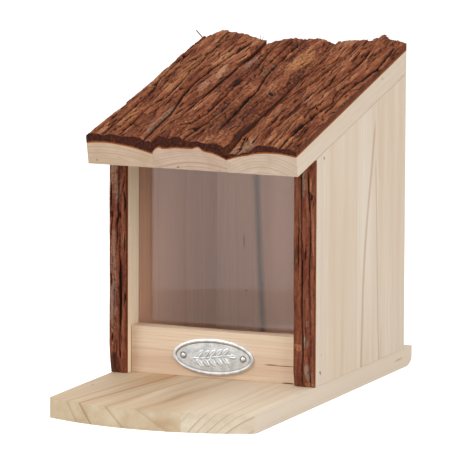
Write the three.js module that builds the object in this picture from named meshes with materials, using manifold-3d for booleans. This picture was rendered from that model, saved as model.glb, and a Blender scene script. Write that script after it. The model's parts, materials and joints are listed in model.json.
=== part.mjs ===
// A squirrel feeder: a pine box on a bow-fronted base, with a window and a hinged lid of bark-covered slabs.
// Millimetres, +Z up, the front faces -Y. The origin is the middle of the base's underside.
import * as THREE from "three";
import { mergeVertices } from "three/addons/utils/BufferGeometryUtils.js";
import Module from "manifold-3d";

const wasm = await Module();
wasm.setup();

// Clearances
const overrun = 5; // how far a cutter passes the face that it cuts
const looseGap = 0.3; // between a piece and the hole or seat that holds it loosely
const lidGap = 0.3; // between the closed lid and the box's top edges

// Base
const boxWidth = 124;
const baseLength = 252;
const baseThickness = 11.2;
const baseBow = 14; // how far the curved front stands ahead of its corners
const baseCornerEase = 2.5;
const baseRearEaseLength = 10;
const baseRearEaseHeight = 4.7;
const rightStaveWidth = 39.4; // the glue line is this far from the right edge

// Box
const rearLip = 12.4; // what the base leaves behind the box
const rearHeight = 171.8; // from the ground to the lid's underside at the rear
const lidSlope = THREE.MathUtils.degToRad(12.81);
const sideThickness = 9.6;
const backThickness = 7.6;
const sideLength = 122.3;
const postDepth = 15.3;
const leftPostWidth = 9.6;
const rightPostWidth = 12.3;
const railHeight = 26.7;
const railThickness = 11;

// Window
const paneThickness = 2;
const paneClearance = 0.2; // before and behind the pane in its rebates
const rebateDepth = 3; // how far a rebate goes into a side panel
const paneTopClearance = 1.5;

// Bark on the posts
const postBarkThickness = 3.2;
const postRidgeHeight = 0.8;
const postRidgeWidth = 3.6;
const postRidgeLength = 34;
const postBarkRowLength = 8.4;
const postBarkTopClearance = 0.6;
const postPlates = { furrowHalfWidth: 0.6, furrowDepth: 1, lift: 1, arch: 0.4, columns: 3 };
const leftPlateFoot = 13; // where the left bark's outer plate is broken off above the base
const leftBarkFootTaper = 9; // how far up the bark is broken thin at its foot
const rightBarkFootTaper = 3;

// Lid
const lidFrontOverhang = 28.2; // ahead of the posts' wood, along the underside
const lidLeftOverhang = 2.4;
const slabThickness = 12.8;
const leftSlabWidth = 39.8;
const rightSlabWidth = 42.2;
const barkThickness = 4.5;
const roofRidgeHeight = 1.2;
const roofRidgeWidth = 6.5;
const roofRidgeLength = 46;
const roofPlates = { furrowHalfWidth: 1.3, furrowDepth: 2.6, lift: 1.2, arch: 0.8, columns: 4 };
const barkRowLength = 10.4;
const slabRowLength = 42;
const tornLength = 20; // of the bark that is torn off at the front of the right slab
const leastBark = 0.9;

// Hinges
const hingeLength = 25;
const hingeCentreInset = 23.5; // from the box's side
const leafWidth = 10;
const leafThickness = 0.9;
const leafCornerRadius = 1.6;
const hingePinRadius = 0.9;
const hingePinClearance = 0.12;
const hingePinProud = 0.6;
const knuckleGap = 0.3;
const knuckleCount = 5;
const screwSpacing = 15;
const screwFromLeafEdge = 4.4;

// Screws in the hinges
const screwHeadRadius = 1.9;
const screwShankRadius = 0.9;
const screwLength = 8;
const screwTipLength = 2;
const screwHeadSink = 0.1;

// Nails through the base
const nailHeadRadius = 2;
const nailHeadThickness = 0.8;
const nailShankRadius = 0.9;
const nailLength = 30;
const nailTipLength = 2;
const nailHeadSink = 0.2;
const sideNailInset = 20; // from each end of a side panel
const backNailInset = 32; // from the box's side

// Brads in the posts
const bradWidth = 1.2;
const bradThickness = 0.9;
const railBradLength = 18;
const railBradAboveBase = 7;
const railBradAheadOfPostBack = 8;
const topBradLength = 14;
const topBradBelowLid = 4;
const topBradAheadOfPostBack = 3.9;
const topBradTurn = THREE.MathUtils.degToRad(60); // from square to the post's side, towards the rear

// Plaque
const plaqueWidth = 49;
const plaqueHeight = 20.7;
const plaqueThickness = 1.5;
const plaqueRimWidth = 2.1;
const plaqueFieldDepth = 0.5;
const plaqueCentreX = -1.5;
const plaqueAboveBase = 12.15;
const pinSpacing = 36.4;
const pinHeadRadius = 1.6;
const pinHeadHeight = 0.9;
const pinShankRadius = 0.6;
const pinLength = 9;
const pinTipLength = 1;

// Worked out from the sizes above
const baseFront = -baseLength / 2;
const baseRear = baseLength / 2;
const boxRear = baseRear - rearLip;
const sideFront = boxRear - sideLength;
const postFront = sideFront - postDepth;
const halfWidth = boxWidth / 2;
const staveJointX = halfWidth - rightStaveWidth;
const hingeCentreX = halfWidth - hingeCentreInset;
const lidFront = postFront - lidFrontOverhang;
const lidLeft = -halfWidth - lidLeftOverhang;
const firstJointX = lidLeft + leftSlabWidth;
const secondJointX = halfWidth - rightSlabWidth;
const knuckleRadius = hingePinRadius + hingePinClearance + leafThickness;
const hingeAxisY = boxRear + knuckleRadius;
const insideHalfWidth = halfWidth - sideThickness;

// Looks
const pine = { color: "#dcc8a8", roughness: 0.75, metalness: 0 };
const rosyPine = { color: "#dcbb92", roughness: 0.75, metalness: 0 };
const endGrain = { color: "#d5bc9c", roughness: 0.8, metalness: 0 };
const bark = { color: "#7a4a30", roughness: 0.95, metalness: 0 };
const clearPlastic = { color: "#e8e4e0", roughness: 0.08, metalness: 0, transparent: true, opacity: 0.3 };
const castZinc = { color: "#c9cfcc", roughness: 0.4, metalness: 0.9 };
const platedSteel = { color: "#cfc9ae", roughness: 0.35, metalness: 0.9 };

// The height of the lid's underside above the ground at a place along the box.
function lidUnderside(y) {
  return rearHeight - (boxRear - y) * Math.tan(lidSlope);
}

// The top edge of what stands under the lid.
function boxTop(y) {
  return lidUnderside(y) - lidGap;
}

// Joins, cuts and keeps what two solids share
function solidOf(geometry) {
  const plain = geometry.clone();
  plain.deleteAttribute("normal");
  plain.deleteAttribute("uv");
  const merged = mergeVertices(plain);
  return new wasm.Manifold(
    new wasm.Mesh({
      numProp: 3,
      vertProperties: merged.attributes.position.array,
      triVerts: new Uint32Array(merged.index.array),
    }),
  );
}

function geometryOf(solid) {
  const mesh = solid.getMesh();
  const geometry = new THREE.BufferGeometry();
  geometry.setAttribute("position", new THREE.BufferAttribute(mesh.vertProperties, mesh.numProp));
  geometry.setIndex(new THREE.BufferAttribute(mesh.triVerts, 1));
  return geometry;
}

function cut(geometry, cutters) {
  const result = cutters.reduce((solid, cutter) => solid.subtract(solidOf(cutter)), solidOf(geometry));
  return geometryOf(result);
}

function join(geometries) {
  return geometryOf(geometries.map(solidOf).reduce((a, b) => a.add(b)));
}

function shared(a, b) {
  return geometryOf(solidOf(a).intersect(solidOf(b)));
}

// A box between two corners.
function block(xFrom, xTo, yFrom, yTo, zFrom, zTo) {
  const geometry = new THREE.BoxGeometry(xTo - xFrom, yTo - yFrom, zTo - zFrom);
  return geometry.translate((xFrom + xTo) / 2, (yFrom + yTo) / 2, (zFrom + zTo) / 2);
}

// A side outline, drawn in Y and Z, run across the box from one X to another.
function acrossBox(outline, xFrom, xTo, curveSegments = 1) {
  const geometry = new THREE.ExtrudeGeometry(outline, {
    depth: xTo - xFrom,
    bevelEnabled: false,
    curveSegments,
  });
  const turned = new THREE.Matrix4().makeBasis(
    new THREE.Vector3(0, 1, 0),
    new THREE.Vector3(0, 0, 1),
    new THREE.Vector3(1, 0, 0),
  );
  return geometry.applyMatrix4(turned).translate(xFrom, 0, 0);
}

function outlineOf(points) {
  return new THREE.Shape(points.map(([across, up]) => new THREE.Vector2(across, up)));
}

// A closed sheet between a lower and an upper net of points: rows run towards +Y and columns towards +X.
function sheetBetween(lower, upper) {
  const lastRow = lower.length - 1;
  const columns = lower[0].length;
  const lastColumn = columns - 1;
  const low = (row, column) => row * columns + column;
  const high = (row, column) => (lastRow + 1) * columns + low(row, column);
  const index = [];
  const quad = (a, b, c, d) => index.push(a, b, c, a, c, d);
  for (let c = 0; c < lastColumn; c++) {
    for (let r = 0; r < lastRow; r++) {
      quad(high(r, c), high(r, c + 1), high(r + 1, c + 1), high(r + 1, c));
      quad(low(r, c), low(r + 1, c), low(r + 1, c + 1), low(r, c + 1));
    }
    quad(low(0, c), low(0, c + 1), high(0, c + 1), high(0, c));
    quad(low(lastRow, c + 1), low(lastRow, c), high(lastRow, c), high(lastRow, c + 1));
  }
  for (let r = 0; r < lastRow; r++) {
    quad(low(r + 1, 0), low(r, 0), high(r, 0), high(r + 1, 0));
    quad(low(r, lastColumn), low(r + 1, lastColumn), high(r + 1, lastColumn), high(r, lastColumn));
  }
  const positions = [...lower.flat(), ...upper.flat()].flatMap((p) => [p.x, p.y, p.z]);
  const geometry = new THREE.BufferGeometry();
  geometry.setAttribute("position", new THREE.Float32BufferAttribute(positions, 3));
  geometry.setIndex(index);
  return geometry;
}

// Evenly spread places from 0 to 1, no further apart than a step along a length.
function placesAlong(length, step) {
  const count = Math.max(1, Math.round(length / step));
  return Array.from({ length: count + 1 }, (_, i) => i / count);
}

// Smooth noise for bark: values at whole places, eased between them
const scatter = { along: 127.1, across: 311.7, seed: 74.7, spread: 43758.5453 };

function latticeValue(i, j, seed) {
  const raw = Math.sin(i * scatter.along + j * scatter.across + seed * scatter.seed) * scatter.spread;
  return raw - Math.floor(raw);
}

function smoothNoise(u, v, seed) {
  const i = Math.floor(u);
  const j = Math.floor(v);
  const du = THREE.MathUtils.smoothstep(u - i, 0, 1);
  const dv = THREE.MathUtils.smoothstep(v - j, 0, 1);
  const near = THREE.MathUtils.lerp(latticeValue(i, j, seed), latticeValue(i + 1, j, seed), du);
  const far = THREE.MathUtils.lerp(latticeValue(i, j + 1, seed), latticeValue(i + 1, j + 1, seed), du);
  return THREE.MathUtils.lerp(near, far, dv);
}

// Bark relief from -0.5 to 0.5: long plates with finer ridges on them.
const fineRidgeShare = 0.35;
const roofBarkSeed = 0;
const postBarkSeed = 5;

function barkRelief(across, along, ridgeWidth, ridgeLength, seed) {
  const plates = smoothNoise(across / ridgeWidth, along / ridgeLength, seed);
  const ridges = smoothNoise((2 * across) / ridgeWidth, (2 * along) / ridgeLength, seed + 1);
  return (1 - fineRidgeShare) * plates + fineRidgeShare * ridges - 0.5;
}

// The value of an evenly spaced table of shares at a place from 0 to 1, on a smooth curve.
function shareAt(shares, place) {
  const points = shares.map((share, i) => new THREE.Vector2(i / (shares.length - 1), share));
  return new THREE.SplineCurve(points).getPoint(place).y;
}

// One row across a sheet of bark: the main plates' arched tops, with a furrow between each two. A furrow runs
// through evenly spaced places across, as shares of the sheet's width, as deep there as a share of the deepest.
function plateRow(sizes, { furrows, liftShares }, width, place) {
  const reach = sizes.furrowHalfWidth / width;
  const middles = furrows.map(({ acrossShares }) => shareAt(acrossShares, place));
  return liftShares.flatMap((liftShare, i) => {
    const from = i === 0 ? 0 : middles[i - 1] + reach;
    const to = i === furrows.length ? 1 : middles[i] - reach;
    const lift = sizes.lift * liftShare;
    const top = placesAlong(1, 1 / sizes.columns).map((t) => ({
      across: THREE.MathUtils.lerp(from, to, t),
      rise: lift + sizes.arch * 4 * t * (1 - t),
    }));
    if (i === furrows.length) {
      return top;
    }
    const depth = sizes.furrowDepth * shareAt(furrows[i].depthShares, place);
    return [...top, { across: middles[i], rise: lift - depth }];
  });
}

// How many columns such a row has.
const plateRowColumns = (sizes, { liftShares }) => liftShares.length * (sizes.columns + 2) - 2;

const solidMesh = (name, geometry, look) => {
  const mesh = new THREE.Mesh(geometry, new THREE.MeshStandardMaterial(look));
  mesh.name = name;
  return mesh;
};

// Round fasteners, turned about their own Y axis with the point towards -Y and the head's top at zero
function turned(profile, segments) {
  return new THREE.LatheGeometry(
    profile.map(([r, y]) => new THREE.Vector2(r, y)),
    segments,
  );
}

const fastenerSides = 10;

function screwBody(grow) {
  return turned(
    [
      [0, -screwLength - grow],
      [screwShankRadius + grow, screwTipLength - screwLength - grow],
      [screwShankRadius + grow, screwShankRadius - screwHeadRadius],
      [screwHeadRadius + grow, 0],
      [0, 0],
    ],
    fastenerSides,
  );
}

// The room for a screw: its own shape, a little wider, with the countersink open to the outside.
function screwRoom() {
  const mouth = new THREE.CylinderGeometry(
    screwHeadRadius + looseGap,
    screwHeadRadius + looseGap,
    overrun,
    fastenerSides,
  );
  return join([screwBody(looseGap), mouth.translate(0, overrun / 2, 0)]);
}

function nailBody(grow) {
  return turned(
    [
      [0, -nailLength - grow],
      [nailShankRadius + grow, nailTipLength - nailLength - grow],
      [nailShankRadius + grow, -nailHeadThickness - grow],
      [nailHeadRadius + grow, -nailHeadThickness - grow],
      [nailHeadRadius + grow, grow],
      [0, grow],
    ],
    fastenerSides,
  );
}

// A round-headed pin whose head sits on top of zero.
function plaquePinBody() {
  const domeShares = [0, 1 / 3, 2 / 3, 1];
  const dome = domeShares.map((share) => [
    pinHeadRadius * Math.cos((share * Math.PI) / 2),
    pinHeadHeight * Math.sin((share * Math.PI) / 2),
  ]);
  dome[dome.length - 1][0] = 0;
  return turned(
    [[0, -pinLength], [pinShankRadius, pinTipLength - pinLength], [pinShankRadius, 0], ...dome],
    fastenerSides,
  );
}

// Base
const bowRadius = (halfWidth * halfWidth + baseBow * baseBow) / (2 * baseBow);
const bowCentreY = baseFront + bowRadius;
const bowSegments = 28;

function bowY(x) {
  return bowCentreY - Math.sqrt(bowRadius * bowRadius - x * x);
}

function basePlan() {
  const cornerY = bowY(halfWidth);
  const easedX = halfWidth - baseCornerEase;
  const easedAngle = Math.atan2(bowY(easedX) - bowCentreY, easedX);
  const plan = new THREE.Shape();
  plan.moveTo(-halfWidth, baseRear);
  plan.lineTo(-halfWidth, cornerY + baseCornerEase);
  plan.quadraticCurveTo(-halfWidth, cornerY, -easedX, bowY(easedX));
  plan.absarc(0, bowCentreY, bowRadius, -Math.PI - easedAngle, easedAngle, false);
  plan.quadraticCurveTo(halfWidth, cornerY, halfWidth, cornerY + baseCornerEase);
  plan.lineTo(halfWidth, baseRear);
  return plan;
}

function baseSideOutline() {
  const outline = new THREE.Shape();
  outline.moveTo(baseFront - overrun, 0);
  outline.lineTo(baseRear - baseRearEaseLength, 0);
  outline.absellipse(
    baseRear - baseRearEaseLength,
    baseRearEaseHeight,
    baseRearEaseLength,
    baseRearEaseHeight,
    -Math.PI / 2,
    0,
    false,
  );
  outline.lineTo(baseRear, baseThickness);
  outline.lineTo(baseFront - overrun, baseThickness);
  return outline;
}

function baseNailPlaces() {
  const sideX = halfWidth - sideThickness / 2;
  const places = [];
  for (const side of [-1, 1]) {
    places.push([side * sideX, sideFront + sideNailInset]);
    places.push([side * sideX, boxRear - sideNailInset]);
    places.push([side * (halfWidth - backNailInset), boxRear - backThickness / 2]);
  }
  return places;
}

// A nail's body stood on end, point up, with its head just inside the base's underside.
function standingNail(grow) {
  return nailBody(grow).rotateX(-Math.PI / 2).translate(0, 0, nailHeadSink);
}

function nailRooms() {
  return baseNailPlaces().map(([x, y]) => {
    const mouth = new THREE.CylinderGeometry(
      nailHeadRadius + looseGap,
      nailHeadRadius + looseGap,
      overrun,
      fastenerSides,
    );
    mouth.rotateX(Math.PI / 2).translate(0, 0, nailHeadSink - overrun / 2);
    return join([standingNail(looseGap), mouth]).translate(x, y, 0);
  });
}

function baseStave(xFrom, xTo) {
  const slab = new THREE.ExtrudeGeometry(basePlan(), {
    depth: baseThickness,
    bevelEnabled: false,
    curveSegments: bowSegments,
  });
  const eased = acrossBox(baseSideOutline(), -halfWidth - overrun, halfWidth + overrun, 6);
  const span = block(xFrom, xTo, baseFront - overrun, baseRear + overrun, -overrun, baseThickness + overrun);
  return cut(shared(shared(slab, eased), span), nailRooms());
}

// Box boards
function onSide(side, near, far) {
  return side < 0 ? [-far, -near] : [near, far];
}

// An upright board seen from the side, its top cut to the lid's slope.
function uprightOutline(yFrom, yTo) {
  return outlineOf([
    [yFrom, baseThickness],
    [yTo, baseThickness],
    [yTo, boxTop(yTo)],
    [yFrom, boxTop(yFrom)],
  ]);
}

function sidePanel(side) {
  const panel = acrossBox(uprightOutline(sideFront, boxRear), ...onSide(side, insideHalfWidth, halfWidth));
  const rebate = block(
    ...onSide(side, insideHalfWidth - overrun, insideHalfWidth + rebateDepth),
    sideFront - overrun,
    sideFront + paneThickness + 2 * paneClearance,
    baseThickness - overrun,
    rearHeight,
  );
  return cut(panel, [rebate, topBradRoom(side), ...nailRooms()]);
}

function backPanel() {
  const outline = uprightOutline(boxRear - backThickness, boxRear);
  const panel = acrossBox(outline, -insideHalfWidth, insideHalfWidth);
  return cut(panel, [...nailRooms(), ...hingeScrewPlaces().map(screwRoomAt)]);
}

function postWidth(side) {
  return side < 0 ? leftPostWidth : rightPostWidth;
}

function post(side) {
  const batten = acrossBox(
    uprightOutline(postFront, sideFront),
    ...onSide(side, halfWidth - postWidth(side), halfWidth),
  );
  return cut(batten, [topBradRoom(side), railBradRoom(side)]);
}

// Brads: cut wire, oblong in section
function bradBody(length, grow) {
  return new THREE.BoxGeometry(length + 2 * grow, bradThickness + 2 * grow, bradWidth + 2 * grow);
}

function topBradPlace(side) {
  const startY = sideFront - topBradAheadOfPostBack;
  const startX = halfWidth - bradThickness / 2;
  const half = topBradLength / 2;
  return {
    position: new THREE.Vector3(
      side * (startX - half * Math.cos(topBradTurn)),
      startY + half * Math.sin(topBradTurn),
      lidUnderside(startY) - topBradBelowLid,
    ),
    turn: side < 0 ? topBradTurn : Math.PI - topBradTurn,
  };
}

function topBradRoom(side) {
  const { position, turn } = topBradPlace(side);
  const room = bradBody(topBradLength, looseGap).rotateZ(turn);
  return room.translate(position.x, position.y, position.z);
}

function railBradPlace(side) {
  return new THREE.Vector3(
    side * (halfWidth - railBradLength / 2),
    sideFront - railBradAheadOfPostBack,
    baseThickness + railBradAboveBase,
  );
}

function railBradRoom(side) {
  const { x, y, z } = railBradPlace(side);
  return bradBody(railBradLength, looseGap).translate(x, y, z);
}

// Front rail and its plaque
const railFront = sideFront - railThickness;
const plaqueCentreZ = baseThickness + plaqueAboveBase;
const plaqueFieldY = railFront - plaqueThickness + plaqueFieldDepth;

function frontRail() {
  const rail = block(
    -halfWidth + leftPostWidth + looseGap,
    halfWidth - rightPostWidth,
    railFront,
    sideFront,
    baseThickness,
    baseThickness + railHeight,
  );
  return cut(rail, [railBradRoom(-1), railBradRoom(1), ...[-1, 1].map(plaquePinRoom)]);
}

function plaquePinPlace(side) {
  return new THREE.Vector3(plaqueCentreX + (side * pinSpacing) / 2, plaqueFieldY, plaqueCentreZ);
}

function plaquePin() {
  return plaquePinBody().rotateX(Math.PI);
}

function plaquePinRoom(side) {
  const { x, y, z } = plaquePinPlace(side);
  const shank = new THREE.CylinderGeometry(
    pinShankRadius + looseGap,
    pinShankRadius + looseGap,
    pinLength + 2 * looseGap,
    fastenerSides,
  );
  return shank.translate(x, y + pinLength / 2, z);
}

const plaqueSegments = 32;

function ellipse(shape, inset) {
  shape.absellipse(0, 0, plaqueWidth / 2 - inset, plaqueHeight / 2 - inset, 0, 2 * Math.PI, false);
  return shape;
}

// An oval plate with a raised rim, stood up to face the front.
function plaque() {
  const flat = { bevelEnabled: false, curveSegments: plaqueSegments };
  const field = new THREE.ExtrudeGeometry(ellipse(new THREE.Shape(), 0), {
    ...flat,
    depth: plaqueThickness - plaqueFieldDepth,
  });
  const ring = ellipse(new THREE.Shape(), 0);
  ring.holes.push(ellipse(new THREE.Path(), plaqueRimWidth));
  const rim = new THREE.ExtrudeGeometry(ring, { ...flat, depth: plaqueThickness });
  const plate = join([field, rim]).rotateX(Math.PI / 2).translate(plaqueCentreX, railFront, plaqueCentreZ);
  return cut(plate, [-1, 1].map(plaquePinRoom));
}

// Window
function windowPane() {
  const front = sideFront + paneClearance;
  const halfPane = insideHalfWidth + rebateDepth - looseGap;
  const top = lidUnderside(front) - paneTopClearance;
  return block(-halfPane, halfPane, front, front + paneThickness, baseThickness, top);
}

// The main plates of the posts' bark, from the foot up.
const leftPostPlates = {
  liftShares: [1, 0],
  furrows: [{ acrossShares: [0.55, 0.63, 0.64, 0.61, 0.56, 0.54, 0.53], depthShares: [0.3, 1, 1, 1, 0.9, 1, 0.7] }],
};
const rightPostPlates = {
  liftShares: [0, 0.25, 0],
  furrows: [
    { acrossShares: [0.42, 0.47, 0.43, 0.42, 0.38, 0.38, 0.34], depthShares: [0.5, 0.9, 0.8, 1, 0.8, 0.9, 0.6] },
    { acrossShares: [0.84, 0.86, 0.8, 0.76, 0.82, 0.74, 0.64], depthShares: [0.4, 0.5, 0.3, 0.6, 0.8, 1, 0.8] },
  ],
};

// Bark on a post: a rough sheet made lying down, its outer face up, and stood against the post's front.
function postBark(side) {
  const width = postWidth(side);
  const [plates, footTaper, plateFoot] =
    side < 0 ? [leftPostPlates, leftBarkFootTaper, leftPlateFoot] : [rightPostPlates, rightBarkFootTaper, 0];
  const foot = baseThickness + looseGap;
  const barkBack = postFront - looseGap;
  const rows = placesAlong(boxTop(postFront) - foot, postBarkRowLength);
  const point = (across, along, outward) => {
    const top = boxTop(barkBack - outward) - postBarkTopClearance;
    return new THREE.Vector3(across * width, along * (top - foot), outward);
  };
  const outwardAt = (across, along, rise) => {
    const height = along * (boxTop(postFront) - foot);
    const relief = barkRelief(across * width, height, postRidgeWidth, postRidgeLength, postBarkSeed + side);
    const shown = height < plateFoot ? Math.min(rise, 0) : rise;
    const whole = Math.max(leastBark, postBarkThickness - postRidgeHeight / 2 + postRidgeHeight * relief + shown);
    return leastBark + (whole - leastBark) * THREE.MathUtils.smoothstep(height, 0, footTaper);
  };
  const rowAt = (along) => plateRow(postPlates, plates, width, along);
  const lower = rows.map((along) => rowAt(along).map(({ across }) => point(across, along, 0)));
  const upper = rows.map((along) =>
    rowAt(along).map(({ across, rise }) => point(across, along, outwardAt(across, along, rise))),
  );
  const [xFrom] = onSide(side, halfWidth - width, halfWidth);
  return sheetBetween(lower, upper).rotateX(Math.PI / 2).translate(xFrom, barkBack, foot);
}

// Lid slabs. Each table across runs evenly from a slab's left edge to its right: the wood's height above the
// underside as a share of the slab's thickness, and the bark's as a share of the bark's. A furrow's tables run
// evenly from the front end to the rear.
const slabs = [
  {
    side: "left",
    xFrom: lidLeft,
    xTo: firstJointX,
    woodFrontShares: [0.98, 1.02, 1.04, 1.045, 1.025, 0.985, 0.945, 0.89, 0.815, 0.725, 0.645],
    woodRearShares: [0.83, 0.94, 1.01, 1.045, 1.045, 1.04, 1.015, 0.945, 0.875, 0.8, 0.725],
    barkFrontShares: [0.88, 1.05, 0.98, 0.94, 1.05, 1.25, 1.19, 1.3, 1.5, 1.52, 1.5],
    barkRearShares: [0.82, 0.75, 1.02, 1, 1, 1, 1, 0.92, 0.98, 0.98, 0.92],
    liftShares: [-0.3, 0, 0.1, 0],
    furrows: [
      {
        acrossShares: [0.24, 0.245, 0.25, 0.265, 0.18, 0.13, 0.08, 0.1, 0.16],
        depthShares: [0, 0.3, 1, 0.9, 0.8, 0.5, 0.7, 1, 0.6],
      },
      {
        acrossShares: [0.51, 0.475, 0.475, 0.55, 0.53, 0.51, 0.49, 0.48, 0.48],
        depthShares: [0.3, 1, 1, 0.9, 0.4, 0.2, 0.4, 0.6, 0.3],
      },
      {
        acrossShares: [0.88, 0.85, 0.84, 0.77, 0.69, 0.7, 0.745, 0.8, 0.85],
        depthShares: [0.4, 1, 0.8, 1, 1, 1, 0.9, 0.6, 0.5],
      },
    ],
  },
  {
    side: "middle",
    xFrom: firstJointX,
    xTo: secondJointX,
    woodFrontShares: [
      0.74, 0.9, 0.985, 0.925, 0.925, 0.945, 0.98, 1, 0.998, 0.995, 0.996, 1, 1, 1.065, 1.105, 0.945, 0.893, 0.872,
      0.84, 0.785, 0.728, 0.66, 0.57,
    ],
    woodRearShares: [0.56, 0.7, 0.8, 0.865, 0.905, 0.925, 0.93, 0.93, 0.9, 0.8, 0.7],
    barkFrontShares: [
      1.27, 1.18, 1.33, 1.5, 1.48, 1.455, 1.4, 1.345, 1.32, 1.26, 1.1, 0.95, 0.855, 0.65, 0.535, 0.955, 1, 1.075, 1.2,
      1.31, 1.42, 1.5, 1.55,
    ],
    barkRearShares: [0.91, 0.945, 0.99, 1, 1, 1, 1, 1, 1.09, 1.04, 0.9],
    liftShares: [0, 0.1, 0.1, -0.1],
    furrows: [
      {
        acrossShares: [0.25, 0.3, 0.36, 0.33, 0.325, 0.35, 0.29, 0.23, 0.22],
        depthShares: [0, 0.3, 0.9, 1, 1, 0.9, 0.7, 0.7, 0.3],
      },
      {
        acrossShares: [0.43, 0.457, 0.512, 0.49, 0.465, 0.45, 0.43, 0.4, 0.42],
        depthShares: [0.3, 0.9, 0.9, 0.3, 0, 0.2, 0.6, 0.8, 0.3],
      },
      {
        acrossShares: [0.75, 0.71, 0.68, 0.66, 0.645, 0.565, 0.53, 0.517, 0.53],
        depthShares: [0, 0.1, 1, 1, 1, 0.8, 0.8, 0.8, 0.3],
      },
    ],
  },
  {
    side: "right",
    xFrom: secondJointX,
    xTo: halfWidth,
    woodFrontShares: [0.58, 0.685, 0.778, 0.848, 0.94, 0.99, 1.015, 1.02, 1.005, 0.955, 0.905],
    woodRearShares: [0.8, 0.875, 0.905, 0.94, 0.97, 1.015, 1.06, 1.06, 1.055, 1.05, 1.03],
    barkFrontShares: [0.5, 0.9, 0.95, 0.9, 0.75, 0.77, 0.73, 0.7, 0.756, 0.91, 0.84],
    barkTornShares: [0.42, 0.32, 0.265, 0.3, 0.7, 0.77, 0.73, 0.7, 0.756, 0.91, 0.84],
    barkRearShares: [1.13, 1.08, 1.04, 1.08, 1.12, 1.1, 1.5, 1.3, 1.2, 1.12, 0.6],
    liftShares: [0, 0.1, 0.3, -0.2],
    furrows: [
      {
        acrossShares: [0.15, 0.075, 0.05, 0.075, 0.154, 0.246, 0.303, 0.348, 0.36],
        depthShares: [0, 1, 1, 1, 1, 1, 1, 0.8, 0.4],
      },
      {
        acrossShares: [0.348, 0.384, 0.427, 0.51, 0.53, 0.63, 0.675, 0.66, 0.56],
        depthShares: [0.2, 0.9, 0.8, 1, 1, 1, 1, 1, 0.8],
      },
      {
        acrossShares: [0.763, 0.756, 0.773, 0.84, 0.885, 0.92, 0.94, 0.93, 0.88],
        depthShares: [0.5, 0.9, 1, 0.8, 0.8, 0.8, 0.7, 0.7, 0.3],
      },
    ],
  },
];

// A point of the lid by its X, its place from the front end to the rear and its height above the underside.
// The front end is sawn square to the slope, so it leans forward; the rear end is plumb.
function lidPoint(x, place, height) {
  const lean = height * Math.sin(lidSlope) * Math.cos(lidSlope);
  const y = THREE.MathUtils.lerp(lidFront - lean, boxRear, place);
  return new THREE.Vector3(x, y, lidUnderside(y) + height);
}

function woodHeight(slab, across, place) {
  const front = shareAt(slab.woodFrontShares, across);
  const rear = shareAt(slab.woodRearShares, across);
  return slabThickness * THREE.MathUtils.lerp(front, rear, place);
}

function barkHeight(slab, across, place, rise) {
  const tornShare = tornLength / (boxRear - lidFront);
  const wholeShare = THREE.MathUtils.smoothstep(place, tornShare / 2, tornShare);
  const untorn = shareAt(slab.barkFrontShares, across);
  const torn = slab.barkTornShares ? shareAt(slab.barkTornShares, across) : untorn;
  const front = THREE.MathUtils.lerp(torn, untorn, wholeShare);
  const rear = shareAt(slab.barkRearShares, across);
  const whole = barkThickness * THREE.MathUtils.lerp(front, rear, place);
  const x = THREE.MathUtils.lerp(slab.xFrom, slab.xTo, across);
  const relief = barkRelief(x, place * (boxRear - lidFront), roofRidgeWidth, roofRidgeLength, roofBarkSeed);
  return Math.max(leastBark, whole + roofRidgeHeight * relief + rise);
}

// The wood and the seat of its bark share these columns, so that the gap between them stays even.
const slabColumns = (slab) => placesAlong(1, 1 / plateRowColumns(roofPlates, slab));

function roofSlab(slab) {
  const rows = placesAlong(boxRear - lidFront, slabRowLength);
  const net = (heightAt) =>
    rows.map((place) =>
      slabColumns(slab).map((across) =>
        lidPoint(THREE.MathUtils.lerp(slab.xFrom, slab.xTo, across), place, heightAt(across, place)),
      ),
    );
  const wood = sheetBetween(
    net(() => 0),
    net((across, place) => woodHeight(slab, across, place)),
  );
  const screws = lidScrewPlaces().filter(({ x }) => x > slab.xFrom && x < slab.xTo);
  return cut(wood, screws.map(screwRoomAt));
}

// A slab's bark stands clear of the wood and of its neighbours by a hair.
function roofBark(slab) {
  const xFrom = slab.xFrom + (slab.xFrom > lidLeft ? looseGap / 2 : 0);
  const xTo = slab.xTo - (slab.xTo < halfWidth ? looseGap / 2 : 0);
  const rows = placesAlong(boxRear - lidFront, barkRowLength);
  const point = (across, place, bark) => {
    const height = woodHeight(slab, across, place) + looseGap + bark;
    return lidPoint(THREE.MathUtils.lerp(xFrom, xTo, across), place, height);
  };
  const seat = rows.map((place) => slabColumns(slab).map((across) => point(across, place, 0)));
  const outer = rows.map((place) =>
    plateRow(roofPlates, slab, slab.xTo - slab.xFrom, place).map(({ across, rise }) =>
      point(across, place, barkHeight(slab, across, place, rise)),
    ),
  );
  return sheetBetween(seat, outer);
}

// Hinges, made about their own pin: the leaf stands up from the pin against the wood at its -Y side
const bendSegments = 12;
const cornerSegments = 4;
const knuckleLength = hingeLength / knuckleCount;

// One knuckle: the leaf's strip rolled once round the pin.
function knuckleOutline() {
  const outerFace = leafThickness - knuckleRadius;
  const closing = Math.acos(-outerFace / knuckleRadius);
  const outline = new THREE.Shape();
  outline.moveTo(-knuckleRadius, leafWidth);
  outline.lineTo(-knuckleRadius, 0);
  outline.absarc(0, 0, knuckleRadius, Math.PI, 3 * Math.PI - closing, false);
  outline.lineTo(outerFace, leafWidth);
  const bore = new THREE.Path();
  bore.absarc(0, 0, hingePinRadius + hingePinClearance, 0, 2 * Math.PI, true);
  outline.holes.push(bore);
  return outline;
}

function knuckle(number) {
  const xFrom = number * knuckleLength - hingeLength / 2;
  const before = number > 0 ? knuckleGap / 2 : 0;
  const after = number < knuckleCount - 1 ? knuckleGap / 2 : 0;
  return acrossBox(knuckleOutline(), xFrom + before, xFrom + knuckleLength - after, bendSegments);
}

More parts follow.
